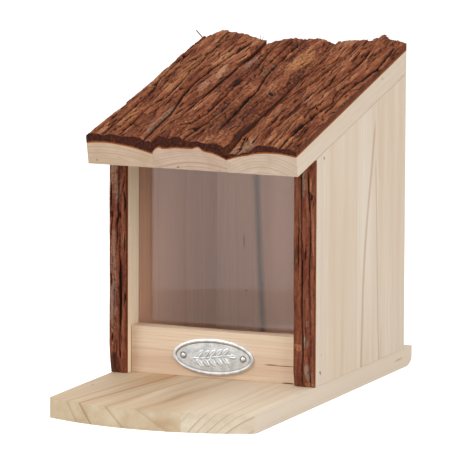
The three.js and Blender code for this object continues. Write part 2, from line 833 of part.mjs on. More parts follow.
// The flat of a leaf, its two far corners rounded.
function leafPlate() {
  const half = hingeLength / 2;
  const near = knuckleRadius + knuckleGap;
  const cornerX = half - leafCornerRadius;
  const cornerY = leafWidth - leafCornerRadius;
  const outline = new THREE.Shape();
  outline.moveTo(-half, near);
  outline.lineTo(half, near);
  outline.absarc(cornerX, cornerY, leafCornerRadius, 0, Math.PI / 2, false);
  outline.absarc(-cornerX, cornerY, leafCornerRadius, Math.PI / 2, Math.PI, false);
  const plate = new THREE.ExtrudeGeometry(outline, {
    depth: leafThickness,
    bevelEnabled: false,
    curveSegments: cornerSegments,
  });
  return plate.rotateX(Math.PI / 2).translate(0, leafThickness - knuckleRadius, 0);
}

function hingeLeaf(firstKnuckle) {
  const plate = leafPlate();
  const knuckles = [];
  for (let number = firstKnuckle; number < knuckleCount; number += 2) knuckles.push(knuckle(number));
  const screws = [-1, 1].map((side) =>
    screwRoom().translate(
      (side * screwSpacing) / 2,
      leafThickness - knuckleRadius - screwHeadSink,
      leafWidth - screwFromLeafEdge,
    ),
  );
  return cut(join([plate, ...knuckles]), screws);
}

function hingePin() {
  const half = hingeLength / 2 + hingePinProud;
  const profile = [
    [0, -half],
    [hingePinRadius / 2, -half],
    [hingePinRadius, hingePinRadius / 2 - half],
    [hingePinRadius, half - hingePinRadius / 2],
    [hingePinRadius / 2, half],
    [0, half],
  ];
  return turned(profile, bendSegments).rotateZ(Math.PI / 2);
}

function screwPlaces(upDown) {
  const places = [];
  for (const hinge of [-1, 1])
    for (const side of [-1, 1])
      places.push(
        new THREE.Vector3(
          hinge * hingeCentreX + (side * screwSpacing) / 2,
          boxRear + leafThickness - screwHeadSink,
          rearHeight + upDown * (leafWidth - screwFromLeafEdge),
        ),
      );
  return places;
}

function lidScrewPlaces() {
  return screwPlaces(1);
}

function hingeScrewPlaces() {
  return screwPlaces(-1);
}

function screwRoomAt({ x, y, z }) {
  return screwRoom().translate(x, y, z);
}

// Put together
const box = new THREE.Group();
const lid = new THREE.Group();
const feeder = new THREE.Group();
feeder.add(box, lid);

box.add(solidMesh("base_stave_left", baseStave(-halfWidth - overrun, staveJointX), pine));
box.add(solidMesh("base_stave_right", baseStave(staveJointX, halfWidth + overrun), pine));
box.add(solidMesh("back_panel", backPanel(), pine));
box.add(solidMesh("front_rail", frontRail(), rosyPine));
box.add(solidMesh("window_pane", windowPane(), clearPlastic));
box.add(solidMesh("plaque", plaque(), castZinc));

for (const side of [-1, 1]) {
  const word = side < 0 ? "left" : "right";
  box.add(solidMesh(`${word}_side_panel`, sidePanel(side), pine));
  box.add(solidMesh(`${word}_post`, post(side), pine));
  box.add(solidMesh(`${word}_post_bark`, postBark(side), bark));

  const topBrad = solidMesh(`${word}_post_top_brad`, bradBody(topBradLength, 0), platedSteel);
  const topPlace = topBradPlace(side);
  topBrad.position.copy(topPlace.position);
  topBrad.rotation.z = topPlace.turn;
  box.add(topBrad);

  const railBrad = solidMesh(`${word}_post_rail_brad`, bradBody(railBradLength, 0), platedSteel);
  railBrad.position.copy(railBradPlace(side));
  box.add(railBrad);

  const pin = solidMesh(`plaque_pin_${word}`, plaquePin(), castZinc);
  pin.position.copy(plaquePinPlace(side));
  box.add(pin);
}

baseNailPlaces().forEach(([x, y], i) => {
  const nail = solidMesh(`base_nail_${i + 1}`, standingNail(0), platedSteel);
  nail.position.set(x, y, 0);
  box.add(nail);
});

for (const slab of slabs) {
  lid.add(solidMesh(`roof_slab_${slab.side}`, roofSlab(slab), endGrain));
  lid.add(solidMesh(`roof_bark_${slab.side}`, roofBark(slab), bark));
}

for (const side of [-1, 1]) {
  const word = side < 0 ? "left" : "right";
  const axis = new THREE.Vector3(side * hingeCentreX, hingeAxisY, rearHeight);
  const lidLeaf = solidMesh(`${word}_hinge_lid_leaf`, hingeLeaf(1), platedSteel);
  lidLeaf.position.copy(axis);
  lid.add(lidLeaf);
  const backLeaf = solidMesh(`${word}_hinge_back_leaf`, hingeLeaf(0), platedSteel);
  backLeaf.position.copy(axis);
  backLeaf.rotation.y = Math.PI;
  box.add(backLeaf);
  const pin = solidMesh(`${word}_hinge_pin`, hingePin(), platedSteel);
  pin.position.copy(axis);
  box.add(pin);
}

function addScrews(group, word, places) {
  places.forEach((place, i) => {
    const screw = solidMesh(`${word}_screw_${i + 1}`, screwBody(0), platedSteel);
    screw.position.copy(place);
    group.add(screw);
  });
}

addScrews(lid, "lid_hinge", lidScrewPlaces());
addScrews(box, "back_hinge", hingeScrewPlaces());

export default feeder;
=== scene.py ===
"""Dress a squirrel feeder: a pine box on a bow-fronted base, with a window and a lid of bark-covered slabs.

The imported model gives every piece's place. Sizes here are millimetres, and meshes are written in metres.
"""

import json
import logging
import math
from collections.abc import Callable, Iterable, Sequence
from dataclasses import dataclass
from enum import Enum

import bmesh
import bpy
import numpy as np
from mathutils import Euler, Matrix, Vector
from mathutils.bvhtree import BVHTree


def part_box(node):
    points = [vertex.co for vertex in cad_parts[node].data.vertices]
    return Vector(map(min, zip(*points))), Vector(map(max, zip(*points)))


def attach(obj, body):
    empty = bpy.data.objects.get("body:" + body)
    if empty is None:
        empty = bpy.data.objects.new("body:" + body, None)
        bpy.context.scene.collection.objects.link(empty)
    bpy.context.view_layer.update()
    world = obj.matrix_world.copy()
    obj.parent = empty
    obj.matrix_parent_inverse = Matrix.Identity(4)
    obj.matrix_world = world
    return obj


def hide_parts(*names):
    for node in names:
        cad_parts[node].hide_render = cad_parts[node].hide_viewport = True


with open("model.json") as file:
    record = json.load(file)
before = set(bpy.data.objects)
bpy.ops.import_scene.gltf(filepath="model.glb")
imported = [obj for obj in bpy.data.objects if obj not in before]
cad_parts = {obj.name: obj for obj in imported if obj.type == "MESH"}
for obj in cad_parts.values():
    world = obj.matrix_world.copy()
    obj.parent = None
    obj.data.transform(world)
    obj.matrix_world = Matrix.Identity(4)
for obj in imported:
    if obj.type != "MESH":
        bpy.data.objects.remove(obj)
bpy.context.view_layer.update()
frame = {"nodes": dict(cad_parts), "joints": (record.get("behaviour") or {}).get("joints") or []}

log = logging.getLogger("squirrel_feeder")

MM = 0.001
LID_SLOPE = math.radians(12.81)
MERGE_REACH = 0.002
FLAT_ANGLE = math.radians(0.4)

MATH = "ShaderNodeMath"
VECTOR_MATH = "ShaderNodeVectorMath"
RANGE = "ShaderNodeMapRange"
MAPPING = "ShaderNodeMapping"
NOISE = "ShaderNodeTexNoise"
RAMP = "ShaderNodeValToRGB"
MIX = "ShaderNodeMix"
SMOOTH = {"interpolation_type": "SMOOTHSTEP"}
COLOURS = {"data_type": "RGBA"}
TIMES = {"operation": "MULTIPLY"}
TIMES_PLUS = {"operation": "MULTIPLY_ADD"}

# Large numbers that scatter neighbouring places
HASH_I = 73856093
HASH_J = 19349663
HASH_SEED = 83492791
HASH_MIX = 1274126177
HASH_TOP = 0xFFFFFF
OCTAVE_SHIFT = (17.3, 5.9)

Array = np.ndarray
Material = bpy.types.Material
Piece = bpy.types.Object
Tree = bpy.types.NodeTree
Feed = bpy.types.Node | bpy.types.NodeSocket
Point = tuple[float, float, float]
Places = tuple[tuple[float, float], ...]


class Body(Enum):
    """The two bodies that the hinge joins."""

    BOX = "box"
    LID = "lid"


class Slot(Enum):
    """The record's material slots."""

    BASE_WOOD = "base_wood"
    BOX_WOOD = "box_wood"
    RAIL_WOOD = "rail_wood"
    ROOF_WOOD = "roof_wood"
    ROOF_BARK = "roof_bark"
    POST_BARK = "post_bark"
    WINDOW_PLASTIC = "window_plastic"
    PLAQUE_METAL = "plaque_metal"
    HINGE_METAL = "hinge_metal"
    FIXING_STEEL = "fixing_steel"


class Paint(Enum):
    """What a patch of bark shows, as the attribute that its finish reads."""

    GREY = "grey"
    PALE = "pale"
    OCHRE = "ochre"
    # Painted shade: near-black where cracks, grooves and hollows lie in shadow.
    SHADE = "shade"


def linear(hex_colour: str) -> tuple[float, float, float, float]:
    """Turn an sRGB hex colour to the linear colour that shaders take.

    Args:
        hex_colour: Six hex digits after a hash.

    Returns:
        Red, green, blue and an alpha of one.
    """
    parts = [int(hex_colour[i : i + 2], 16) / 255 for i in (1, 3, 5)]
    red, green, blue = (p / 12.92 if p <= 0.04045 else ((p + 0.055) / 1.055) ** 2.4 for p in parts)
    return red, green, blue, 1.0


def add_node(
    tree: Tree,
    kind: str,
    inputs: Sequence[object] | dict = (),
    stops: Sequence[tuple[float, object]] = (),
    **settings: object,
) -> bpy.types.Node:
    """Add a node with its settings and links.

    Args:
        tree: The tree to add to.
        kind: The node's type name.
        inputs: Values for the sockets in use, in their order, or by a socket's name. Each is a value, a
            socket, or a node whose first output in use is meant.
        stops: Places with hex colours for a colour ramp, or with heights for a curve.
        settings: The node's own properties.

    Returns:
        The new node.
    """
    node = tree.nodes.new(kind)
    for name, value in settings.items():
        setattr(node, name, value)
    if isinstance(inputs, dict):
        given = [(node.inputs[name], source) for name, source in inputs.items()]
    else:
        given = list(zip([socket for socket in node.inputs if socket.enabled], inputs))
    for socket, source in given:
        if isinstance(source, bpy.types.Node):
            source = next(output for output in source.outputs if output.enabled)
        if isinstance(source, bpy.types.NodeSocket):
            tree.links.new(source, socket)
        else:
            socket.default_value = source
    if kind == RAMP:
        ramp = node.color_ramp
        while len(ramp.elements) < len(stops):
            ramp.elements.new(1.0)
        for element, (place, colour) in zip(ramp.elements, stops):
            element.position = place
            element.color = linear(colour) if isinstance(colour, str) else (colour,) * 3 + (1.0,)
    elif stops:
        curve = node.mapping.curves[0]
        while len(curve.points) < len(stops):
            curve.points.new(1.0, 1.0)
        for point, place in zip(curve.points, stops):
            point.location = place
        node.mapping.update()
    return node


def new_material(name: str) -> tuple[Material, Tree]:
    """Start a material with an empty tree.

    Args:
        name: The material's name.

    Returns:
        The material and its tree.
    """
    material = bpy.data.materials.new(name)
    material.use_nodes = True
    material.node_tree.nodes.clear()
    return material, material.node_tree


def shade(tree: Tree, colour: object, roughness: object, normal: object, **inputs: object) -> None:
    """End a tree in one shader.

    Args:
        tree: The material's tree.
        colour: The base colour.
        roughness: The roughness.
        normal: The bumped normal.
        inputs: The shader's other sockets.
    """
    sockets = {"Base Color": colour, "Roughness": roughness, "Normal": normal, **inputs}
    shader = add_node(tree, "ShaderNodeBsdfPrincipled", sockets)
    add_node(tree, "ShaderNodeOutputMaterial", {"Surface": shader})


def grained(tree: Tree, place: Feed, size: Point, detail: float) -> bpy.types.Node:
    """Build a noise that is drawn out along the grain.

    Args:
        tree: The material's tree.
        place: The place to read.
        size: The noise's size each way, in the place's unit.
        detail: How many finer layers it has.

    Returns:
        The noise's node.
    """
    drawn = add_node(tree, MAPPING, {"Vector": place, "Scale": tuple(1 / part for part in size)})
    return add_node(tree, NOISE, {"Vector": drawn, "Scale": 1.0, "Detail": detail})


# Noise over arrays of places


def hashed(i: Array, j: Array, seed: int) -> Array:
    """Scatter whole places to values from 0 to 1.

    Args:
        i: First coordinate.
        j: Second coordinate.
        seed: Picks the pattern.

    Returns:
        The value at each place.
    """
    n = (i.astype(np.int64) * HASH_I) ^ (j.astype(np.int64) * HASH_J) ^ np.int64(seed * HASH_SEED)
    n = ((n ^ (n >> 13)) * HASH_MIX) & 0xFFFFFFFF
    return ((n ^ (n >> 16)) & HASH_TOP) / float(HASH_TOP)


def smoothstep(low: float, high: float, value: Array) -> Array:
    """Rise smoothly from 0 at low to 1 at high."""
    t = np.clip((value - low) / (high - low), 0, 1)
    return t * t * (3 - 2 * t)


def noise(u: Array, v: Array, seed: int, octaves: int = 1) -> Array:
    """Smooth noise from -1 to 1.

    Args:
        u: First coordinate, one cell per unit.
        v: Second coordinate.
        seed: Picks the pattern.
        octaves: How many layers, each twice as fine and half as strong.

    Returns:
        The noise at each place.
    """
    total = np.zeros_like(u)
    weight = 1.0
    for octave in range(octaves):
        i, j = np.floor(u), np.floor(v)
        du, dv = smoothstep(0, 1, u - i), smoothstep(0, 1, v - j)
        near = hashed(i, j, seed + octave) * (1 - du) + hashed(i + 1, j, seed + octave) * du
        far = hashed(i, j + 1, seed + octave) * (1 - du) + hashed(i + 1, j + 1, seed + octave) * du
        total = total + weight * (2 * (near * (1 - dv) + far * dv) - 1)
        u, v, weight = 2 * u + OCTAVE_SHIFT[0], 2 * v + OCTAVE_SHIFT[1], weight / 2
    return total / (2 - 2 * weight)


@dataclass(frozen=True)
class Cells:
    """A plane split into irregular cells: the way to the next cell, each cell's value and its middle."""

    gap: Array
    value: Array
    side: Array


def cells(u: Array, v: Array, seed: int) -> Cells:
    """Split a plane into irregular cells.

    Args:
        u: First coordinate, about one cell per unit.
        v: Second coordinate.
        seed: Picks the pattern.

    Returns:
        At each place, how far the next cell is, the cell's value, and how far aside its middle is.
    """
    base_i, base_j = np.floor(u), np.floor(v)
    best = np.full_like(u, 9.0)
    second = np.full_like(u, 9.0)
    value = np.zeros_like(u)
    side = np.zeros_like(u)
    for di in (-1, 0, 1):
        for dj in (-1, 0, 1):
            i, j = base_i + di, base_j + dj
            aside = u - i - hashed(i, j, seed)
            away = np.hypot(aside, v - j - hashed(i, j, seed + 1))
            closer = away < best
            second = np.where(closer, best, np.minimum(second, away))
            value = np.where(closer, hashed(i, j, seed + 2), value)
            side = np.where(closer, aside, side)
            best = np.where(closer, away, best)
    return Cells(second - best, value, side)


def stands_out(height: Array, reach: int) -> Array:
    """Work out how far each point of a net stands above its surroundings.

    Args:
        height: The net's heights.
        reach: How many points away the surroundings go.

    Returns:
        The differences in height.
    """
    kernel = np.ones(2 * reach + 1) / (2 * reach + 1)
    around = np.pad(height, reach, mode="edge")
    for axis in (0, 1):
        around = np.apply_along_axis(np.convolve, axis, around, kernel, "valid")
    return height - around


def curve_shares(places: Array, count: int) -> Array:
    """Share out each place among the points of an even row, for a smooth curve through their values.

    Args:
        places: Places from 0 to 1 along the row.
        count: How many points the row has.

    Returns:
        One row of shares for each place.
    """
    spot = places * (count - 1)
    first = np.clip(np.floor(spot).astype(int), 0, count - 2)
    t = spot - first
    table = np.zeros((len(places), count))
    shares = (
        (-t + 2 * t**2 - t**3) / 2,
        (2 - 5 * t**2 + 3 * t**3) / 2,
        (t + 4 * t**2 - 3 * t**3) / 2,
        (-(t**2) + t**3) / 2,
    )
    for offset, share in zip((-1, 0, 1, 2), shares):
        column = np.clip(first + offset, 0, count - 1)
        np.add.at(table, (np.arange(len(places)), column), share)
    return table


def finer(values: Array, rows: Array, columns: Array) -> Array:
    """Read a coarse net on a smooth surface through its values.

    Args:
        values: Heights on an evenly spaced net.
        rows: Places from 0 to 1 along the first direction.
        columns: Places from 0 to 1 along the second direction.

    Returns:
        The heights at every row and column.
    """
    return curve_shares(rows, values.shape[0]) @ values @ curve_shares(columns, values.shape[1]).T


# Pieces


def finish_piece(piece: Piece, body: Body, replaced: Iterable[str]) -> Piece:
    """Put a finished mesh on its body and in place of its nodes.

    Args:
        piece: The finished object, at the origin.
        body: The body it moves with.
        replaced: The nodes that it stands for.

    Returns:
        The same object.
    """
    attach(piece, body.value)
    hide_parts(*replaced)
    return piece


def link_mesh(name: str, mesh: bpy.types.Mesh, material: Material) -> Piece:
    """Make an object of a mesh, with one material.

    Args:
        name: The object's name.
        mesh: Its mesh.
        material: Its only material.

    Returns:
        The object, in the scene.
    """
    mesh.materials.clear()
    mesh.materials.append(material)
    piece = bpy.data.objects.new(name, mesh)
    bpy.context.scene.collection.objects.link(piece)
    return piece


def mesh_of(name: str, points: Array, corners: Array, sizes: Array) -> bpy.types.Mesh:
    """Make a mesh of arrays.

    Args:
        name: The mesh's name.
        points: The points in metres.
        corners: The faces' corners by number, face after face.
        sizes: How many corners each face has.

    Returns:
        The mesh.
    """
    mesh = bpy.data.meshes.new(name)
    mesh.vertices.add(len(points))
    mesh.vertices.foreach_set("co", points.ravel())
    mesh.loops.add(len(corners))
    mesh.loops.foreach_set("vertex_index", corners.ravel().astype(np.int32))
    mesh.polygons.add(len(sizes))
    mesh.polygons.foreach_set("loop_start", (np.cumsum(sizes) - sizes).astype(np.int32))
    mesh.update()
    mesh.validate()
    return mesh


def write_values(mesh: bpy.types.Mesh, domain: str, values: dict[str, Array]) -> None:
    """Write values to a mesh, for its finish to read.

    Args:
        mesh: The mesh.
        domain: Whether each point or each face has a value.
        values: The values by name.
    """
    for name, value in values.items():
        mesh.attributes.new(name, "FLOAT", domain).data.foreach_set("value", value.astype(np.float32))


def flatten(piece: Piece) -> Piece:
    """Turn an object's modifiers into plain mesh and remove them.

    Args:
        piece: The object with its modifiers.

    Returns:
        The same object.
    """
    bpy.context.view_layer.update()
    evaluated = piece.evaluated_get(bpy.context.evaluated_depsgraph_get())
    mesh = bpy.data.meshes.new_from_object(evaluated)
    piece.modifiers.clear()
    piece.data = mesh
    return piece


def node_copy(node: str) -> bmesh.types.BMesh:
    """Copy a CAD node's solid with its corners merged and its flat faces made whole.

    Args:
        node: The node's name.

    Returns:
        The solid, for the caller to free.
    """
    solid = bmesh.new()
    solid.from_mesh(frame["nodes"][node].data)
    bmesh.ops.remove_doubles(solid, verts=solid.verts, dist=MERGE_REACH * MM)
    bmesh.ops.dissolve_limit(
        solid, angle_limit=FLAT_ANGLE, verts=solid.verts, edges=solid.edges, use_dissolve_boundaries=False
    )
    return solid


# Finishes


class GrainAxis(Enum):
    """The way a board's grain runs, as the turn that stands it up along Z."""

    UP = (0.0, 0.0, 0.0)
    ACROSS = (0.0, -math.pi / 2, 0.0)
    ALONG = (math.pi / 2, 0.0, 0.0)
    DOWN_SLOPE = (math.pi / 2 - LID_SLOPE, 0.0, 0.0)


class Overlay:
    """Something on a board that is laid over its plain grain."""

    colour: str

    def share(self, tree: Tree, in_mm: Feed) -> Feed:
        """Build how much of the overlay shows at each place."""
        raise NotImplementedError


@dataclass(frozen=True)
class Mark(Overlay):
    """A knot, stain or crack: its middle, half sizes and turn, and how soft its edge is."""

    middle: Point
    half_size: Point
    colour: str
    strength: float = 1.0
    softness: float = 0.6
    turn: Point = (0.0, 0.0, 0.0)

    def share(self, tree: Tree, in_mm: Feed) -> Feed:
        """Build the mark as an ellipsoid.

        Args:
            tree: The material's tree.
            in_mm: The place in millimetres.

        Returns:
            How much of the mark shows.
        """
        away = add_node(tree, VECTOR_MATH, (in_mm, self.middle), operation="SUBTRACT")
        turned = add_node(tree, MAPPING, {"Vector": away, "Rotation": self.turn})
        sizes = tuple(1 / size for size in self.half_size)
        scaled = add_node(tree, VECTOR_MATH, (turned, sizes), **TIMES)
        length = add_node(tree, VECTOR_MATH, (scaled,), operation="LENGTH")
        return add_node(tree, RANGE, (length, 1 - self.softness, 1.0, self.strength, 0.0), **SMOOTH)


@dataclass(frozen=True)
class Seam(Overlay):
    """A growth ring seen from the side: a plane through three points, with its fade before and after it."""

    points: tuple[Point, Point, Point]
    colour: str
    strength: float
    before: float
    after: float
    wander: float = 0.8
    wave: float = 28.0

    def share(self, tree: Tree, in_mm: Feed) -> Feed:
        """Build the seam as the distance from its plane.

        Args:
            tree: The material's tree.
            in_mm: The place in millimetres.

        Returns:
            How much of the seam shows.
        """
        first, second, third = (Vector(point) for point in self.points)
        normal = (second - first).cross(third - first).normalized()
        noise_node = add_node(tree, NOISE, {"Vector": in_mm, "Scale": 1 / self.wave, "Detail": 2.0})
        swayed = (noise_node, 2 * self.wander, -self.wander - normal.dot(first))
        sway = add_node(tree, MATH, swayed, **TIMES_PLUS)
        along = add_node(tree, VECTOR_MATH, (in_mm, normal), operation="DOT_PRODUCT")
        away = add_node(tree, MATH, (along, sway), operation="ADD")
        rise = add_node(tree, RANGE, (away, -self.before, 0.0, 0.0, self.strength), **SMOOTH)
        fall = add_node(tree, RANGE, (away, 0.0, self.after, 1.0, 0.0), **SMOOTH)
        return add_node(tree, MATH, (rise, fall), **TIMES)


@dataclass(frozen=True)
class Streak(Overlay):
    """A growth line that wanders up a board, by its places as height and depth."""

    places: Places
    half_width: float
    colour: str
    strength: float
    axis: str = "Y"
    deepest: float = 1000.0
    fade: float = 8.0
    skin: float = 1.5

    def share(self, tree: Tree, in_mm: Feed) -> Feed:
        """Build the streak as the distance from its wandering line, fading at its top.

        Args:
            tree: The material's tree.
            in_mm: The place in millimetres.

        Returns:
            How much of the streak shows.
        """
        low, high = self.places[0][0], self.places[-1][0]
        depths = [depth for _, depth in self.places]
        near, far = min(depths) - 1, max(depths) + 1
        parts = add_node(tree, "ShaderNodeSeparateXYZ", (in_mm,)).outputs
        up = add_node(tree, RANGE, (parts["Z"], low, high, 0.0, 1.0))
        stops = tuple(((h - low) / (high - low), (d - near) / (far - near)) for h, d in self.places)
        route = add_node(tree, "ShaderNodeFloatCurve", {"Value": up}, stops=stops)
        middle = add_node(tree, RANGE, (route, 0.0, 1.0, near, far))
        aside = add_node(tree, MATH, (parts[self.axis], middle), operation="SUBTRACT")
        away = add_node(tree, MATH, (aside,), operation="ABSOLUTE")
        side = add_node(tree, RANGE, (away, 0.0, self.half_width, self.strength, 0.0), **SMOOTH)
        head = add_node(tree, RANGE, (parts["Z"], high - self.fade, high, 1.0, 0.0))
        skin = add_node(tree, RANGE, (parts["Y"], self.deepest, self.deepest + self.skin, 1.0, 0.0))
        inside = add_node(tree, MATH, (head, skin), **TIMES)
        return add_node(tree, MATH, (side, inside), **TIMES)


@dataclass(frozen=True)
class PineFinish:
    """Planed softwood without varnish: straw-coloured early wood, thin darker late-wood lines, a dry sheen.

    Real fibres are 0.03 mm wide. They are drawn half a millimetre wide, so that they show.
    """

    name: str
    face: tuple[str, str]
    grain: GrainAxis
    pith: Point
    end: tuple[str, str] = ("#dccab2", "#c2a284")
    ring_width: float = 4.0
    ring_strength: float = 0.45
    wander: float = 3.0
    band_strength: float = 0.35
    lean: float = 0.0
    overlays: tuple[Overlay, ...] = ()
    fibre_size: Point = (0.5, 0.5, 22.0)
    sway_size: Point = (40.0, 40.0, 150.0)
    band_size: Point = (9.0, 9.0, 220.0)
    ring_stops: Places = ((0.0, 0.05), (0.55, 0.1), (0.82, 0.34), (0.95, 1.0), (1.0, 0.1))
    year_span: float = 2.6
    year_spread: float = 2.2
    roughness: float = 0.62
    rough_spread: float = 0.12
    ior: float = 1.5
    specular: float = 0.35
    relief: float = 0.1

    def material(self) -> Material:
        """Build the finish as a solid of growth rings round the board's own pith.

        Returns:
            The material.
        """
        material, tree = new_material(self.name)
        place = add_node(tree, "ShaderNodeTexCoord").outputs["Object"]
        in_mm = add_node(tree, VECTOR_MATH, (place, 1 / MM), operation="SCALE")
        turn = Euler(self.grain.value).to_matrix() @ Matrix.Rotation(-self.lean, 3, "Z")
        moved = -(turn @ Vector(self.pith))
        grain = add_node(tree, MAPPING, {"Vector": in_mm, "Rotation": turn.to_euler(), "Location": moved})
        rings = self.rings(tree, grain)
        fibres = grained(tree, grain, self.fibre_size, 3.0)
        colour = self.colour(tree, grain, rings, fibres, self.end_share(tree, turn))
        for overlay in self.overlays:
            laid = (overlay.share(tree, in_mm), colour, linear(overlay.colour))
            colour = add_node(tree, MIX, laid, **COLOURS)
        raised = add_node(tree, MATH, (fibres, 0.5), **TIMES)
        height = add_node(tree, MATH, (rings, -0.35, raised), **TIMES_PLUS)
        stand = {"Strength": 0.35, "Distance": self.relief * MM, "Height": height}
        bump = add_node(tree, "ShaderNodeBump", stand)
        spread = (fibres, self.rough_spread, self.roughness - self.rough_spread / 2)
        rough = add_node(tree, MATH, spread, **TIMES_PLUS)
        shade(tree, colour, rough, bump, IOR=self.ior, **{"Specular IOR Level": self.specular})
        return material

    def rings(self, tree: Tree, grain: Feed) -> Feed:
        """Build the growth rings, from 0 in early wood to 1 on a late-wood line.

        Args:
            tree: The material's tree.
            grain: The place in millimetres, with the pith up the Z axis.

        Returns:
            The ring value.
        """
        sway = grained(tree, grain, self.sway_size, 2.0).outputs["Color"]
        centred = add_node(tree, VECTOR_MATH, (sway, (0.5,) * 3), operation="SUBTRACT")
        swing = (centred, (self.wander * 2,) * 3, grain)
        swayed = add_node(tree, VECTOR_MATH, swing, **TIMES_PLUS)
        across = add_node(tree, VECTOR_MATH, (swayed, (1.0, 1.0, 0.0)), **TIMES)
        radius = add_node(tree, VECTOR_MATH, (across,), operation="LENGTH")
        span = {"W": radius, "Scale": 1 / (self.year_span * self.ring_width), "Detail": 1.0}
        years = add_node(tree, NOISE, span, noise_dimensions="1D")
        grown = (years, self.year_spread * self.ring_width, radius)
        uneven = add_node(tree, MATH, grown, **TIMES_PLUS)
        counted = add_node(tree, MATH, (uneven, self.ring_width), operation="DIVIDE")
        part = add_node(tree, MATH, (counted,), operation="FRACT")
        return add_node(tree, RAMP, {"Fac": part}, stops=self.ring_stops)

    @staticmethod
    def end_share(tree: Tree, turn: Matrix) -> Feed:
        """Find sawn ends: 1 where the surface faces along the grain.

        Args:
            tree: The material's tree.
            turn: The turn that stands the grain up.

        Returns:
            The share of end grain.
        """
        axis = turn.inverted() @ Vector((0, 0, 1))
        normal = add_node(tree, "ShaderNodeNewGeometry").outputs["Normal"]
        facing = add_node(tree, VECTOR_MATH, (normal, axis), operation="DOT_PRODUCT")
        squarely = add_node(tree, MATH, (facing,), operation="ABSOLUTE")
        return add_node(tree, RANGE, (squarely, 0.6, 0.85, 0.0, 1.0))

    def colour(self, tree: Tree, grain: Feed, rings: Feed, fibres: Feed, end: Feed) -> Feed:
        """Mix early wood, late wood, fibres and end grain.

        Args:
            tree: The material's tree.
            grain: The place in millimetres, with the pith up the Z axis.
            rings: The ring value.
            fibres: The fibre value.
            end: The share of end grain.

        Returns:
            The colour.
        """
        bands = grained(tree, grain, self.band_size, 2.0)
        banded = add_node(tree, RANGE, (bands, 0.3, 0.7, 0.0, self.band_strength))
        ringed = add_node(tree, MATH, (rings, self.ring_strength), **TIMES)
        late = add_node(tree, MATH, (ringed, banded), operation="MAXIMUM")
        early, dark = (
            add_node(tree, MIX, (end, linear(face), linear(sawn)), **COLOURS)
            for face, sawn in zip(self.face, self.end)
        )
        wood = add_node(tree, MIX, (late, early, dark), **COLOURS)
        thread = add_node(tree, RANGE, (fibres, 0.25, 0.75, 0.9, 1.06))
        return add_node(tree, VECTOR_MATH, (wood, thread), operation="SCALE")


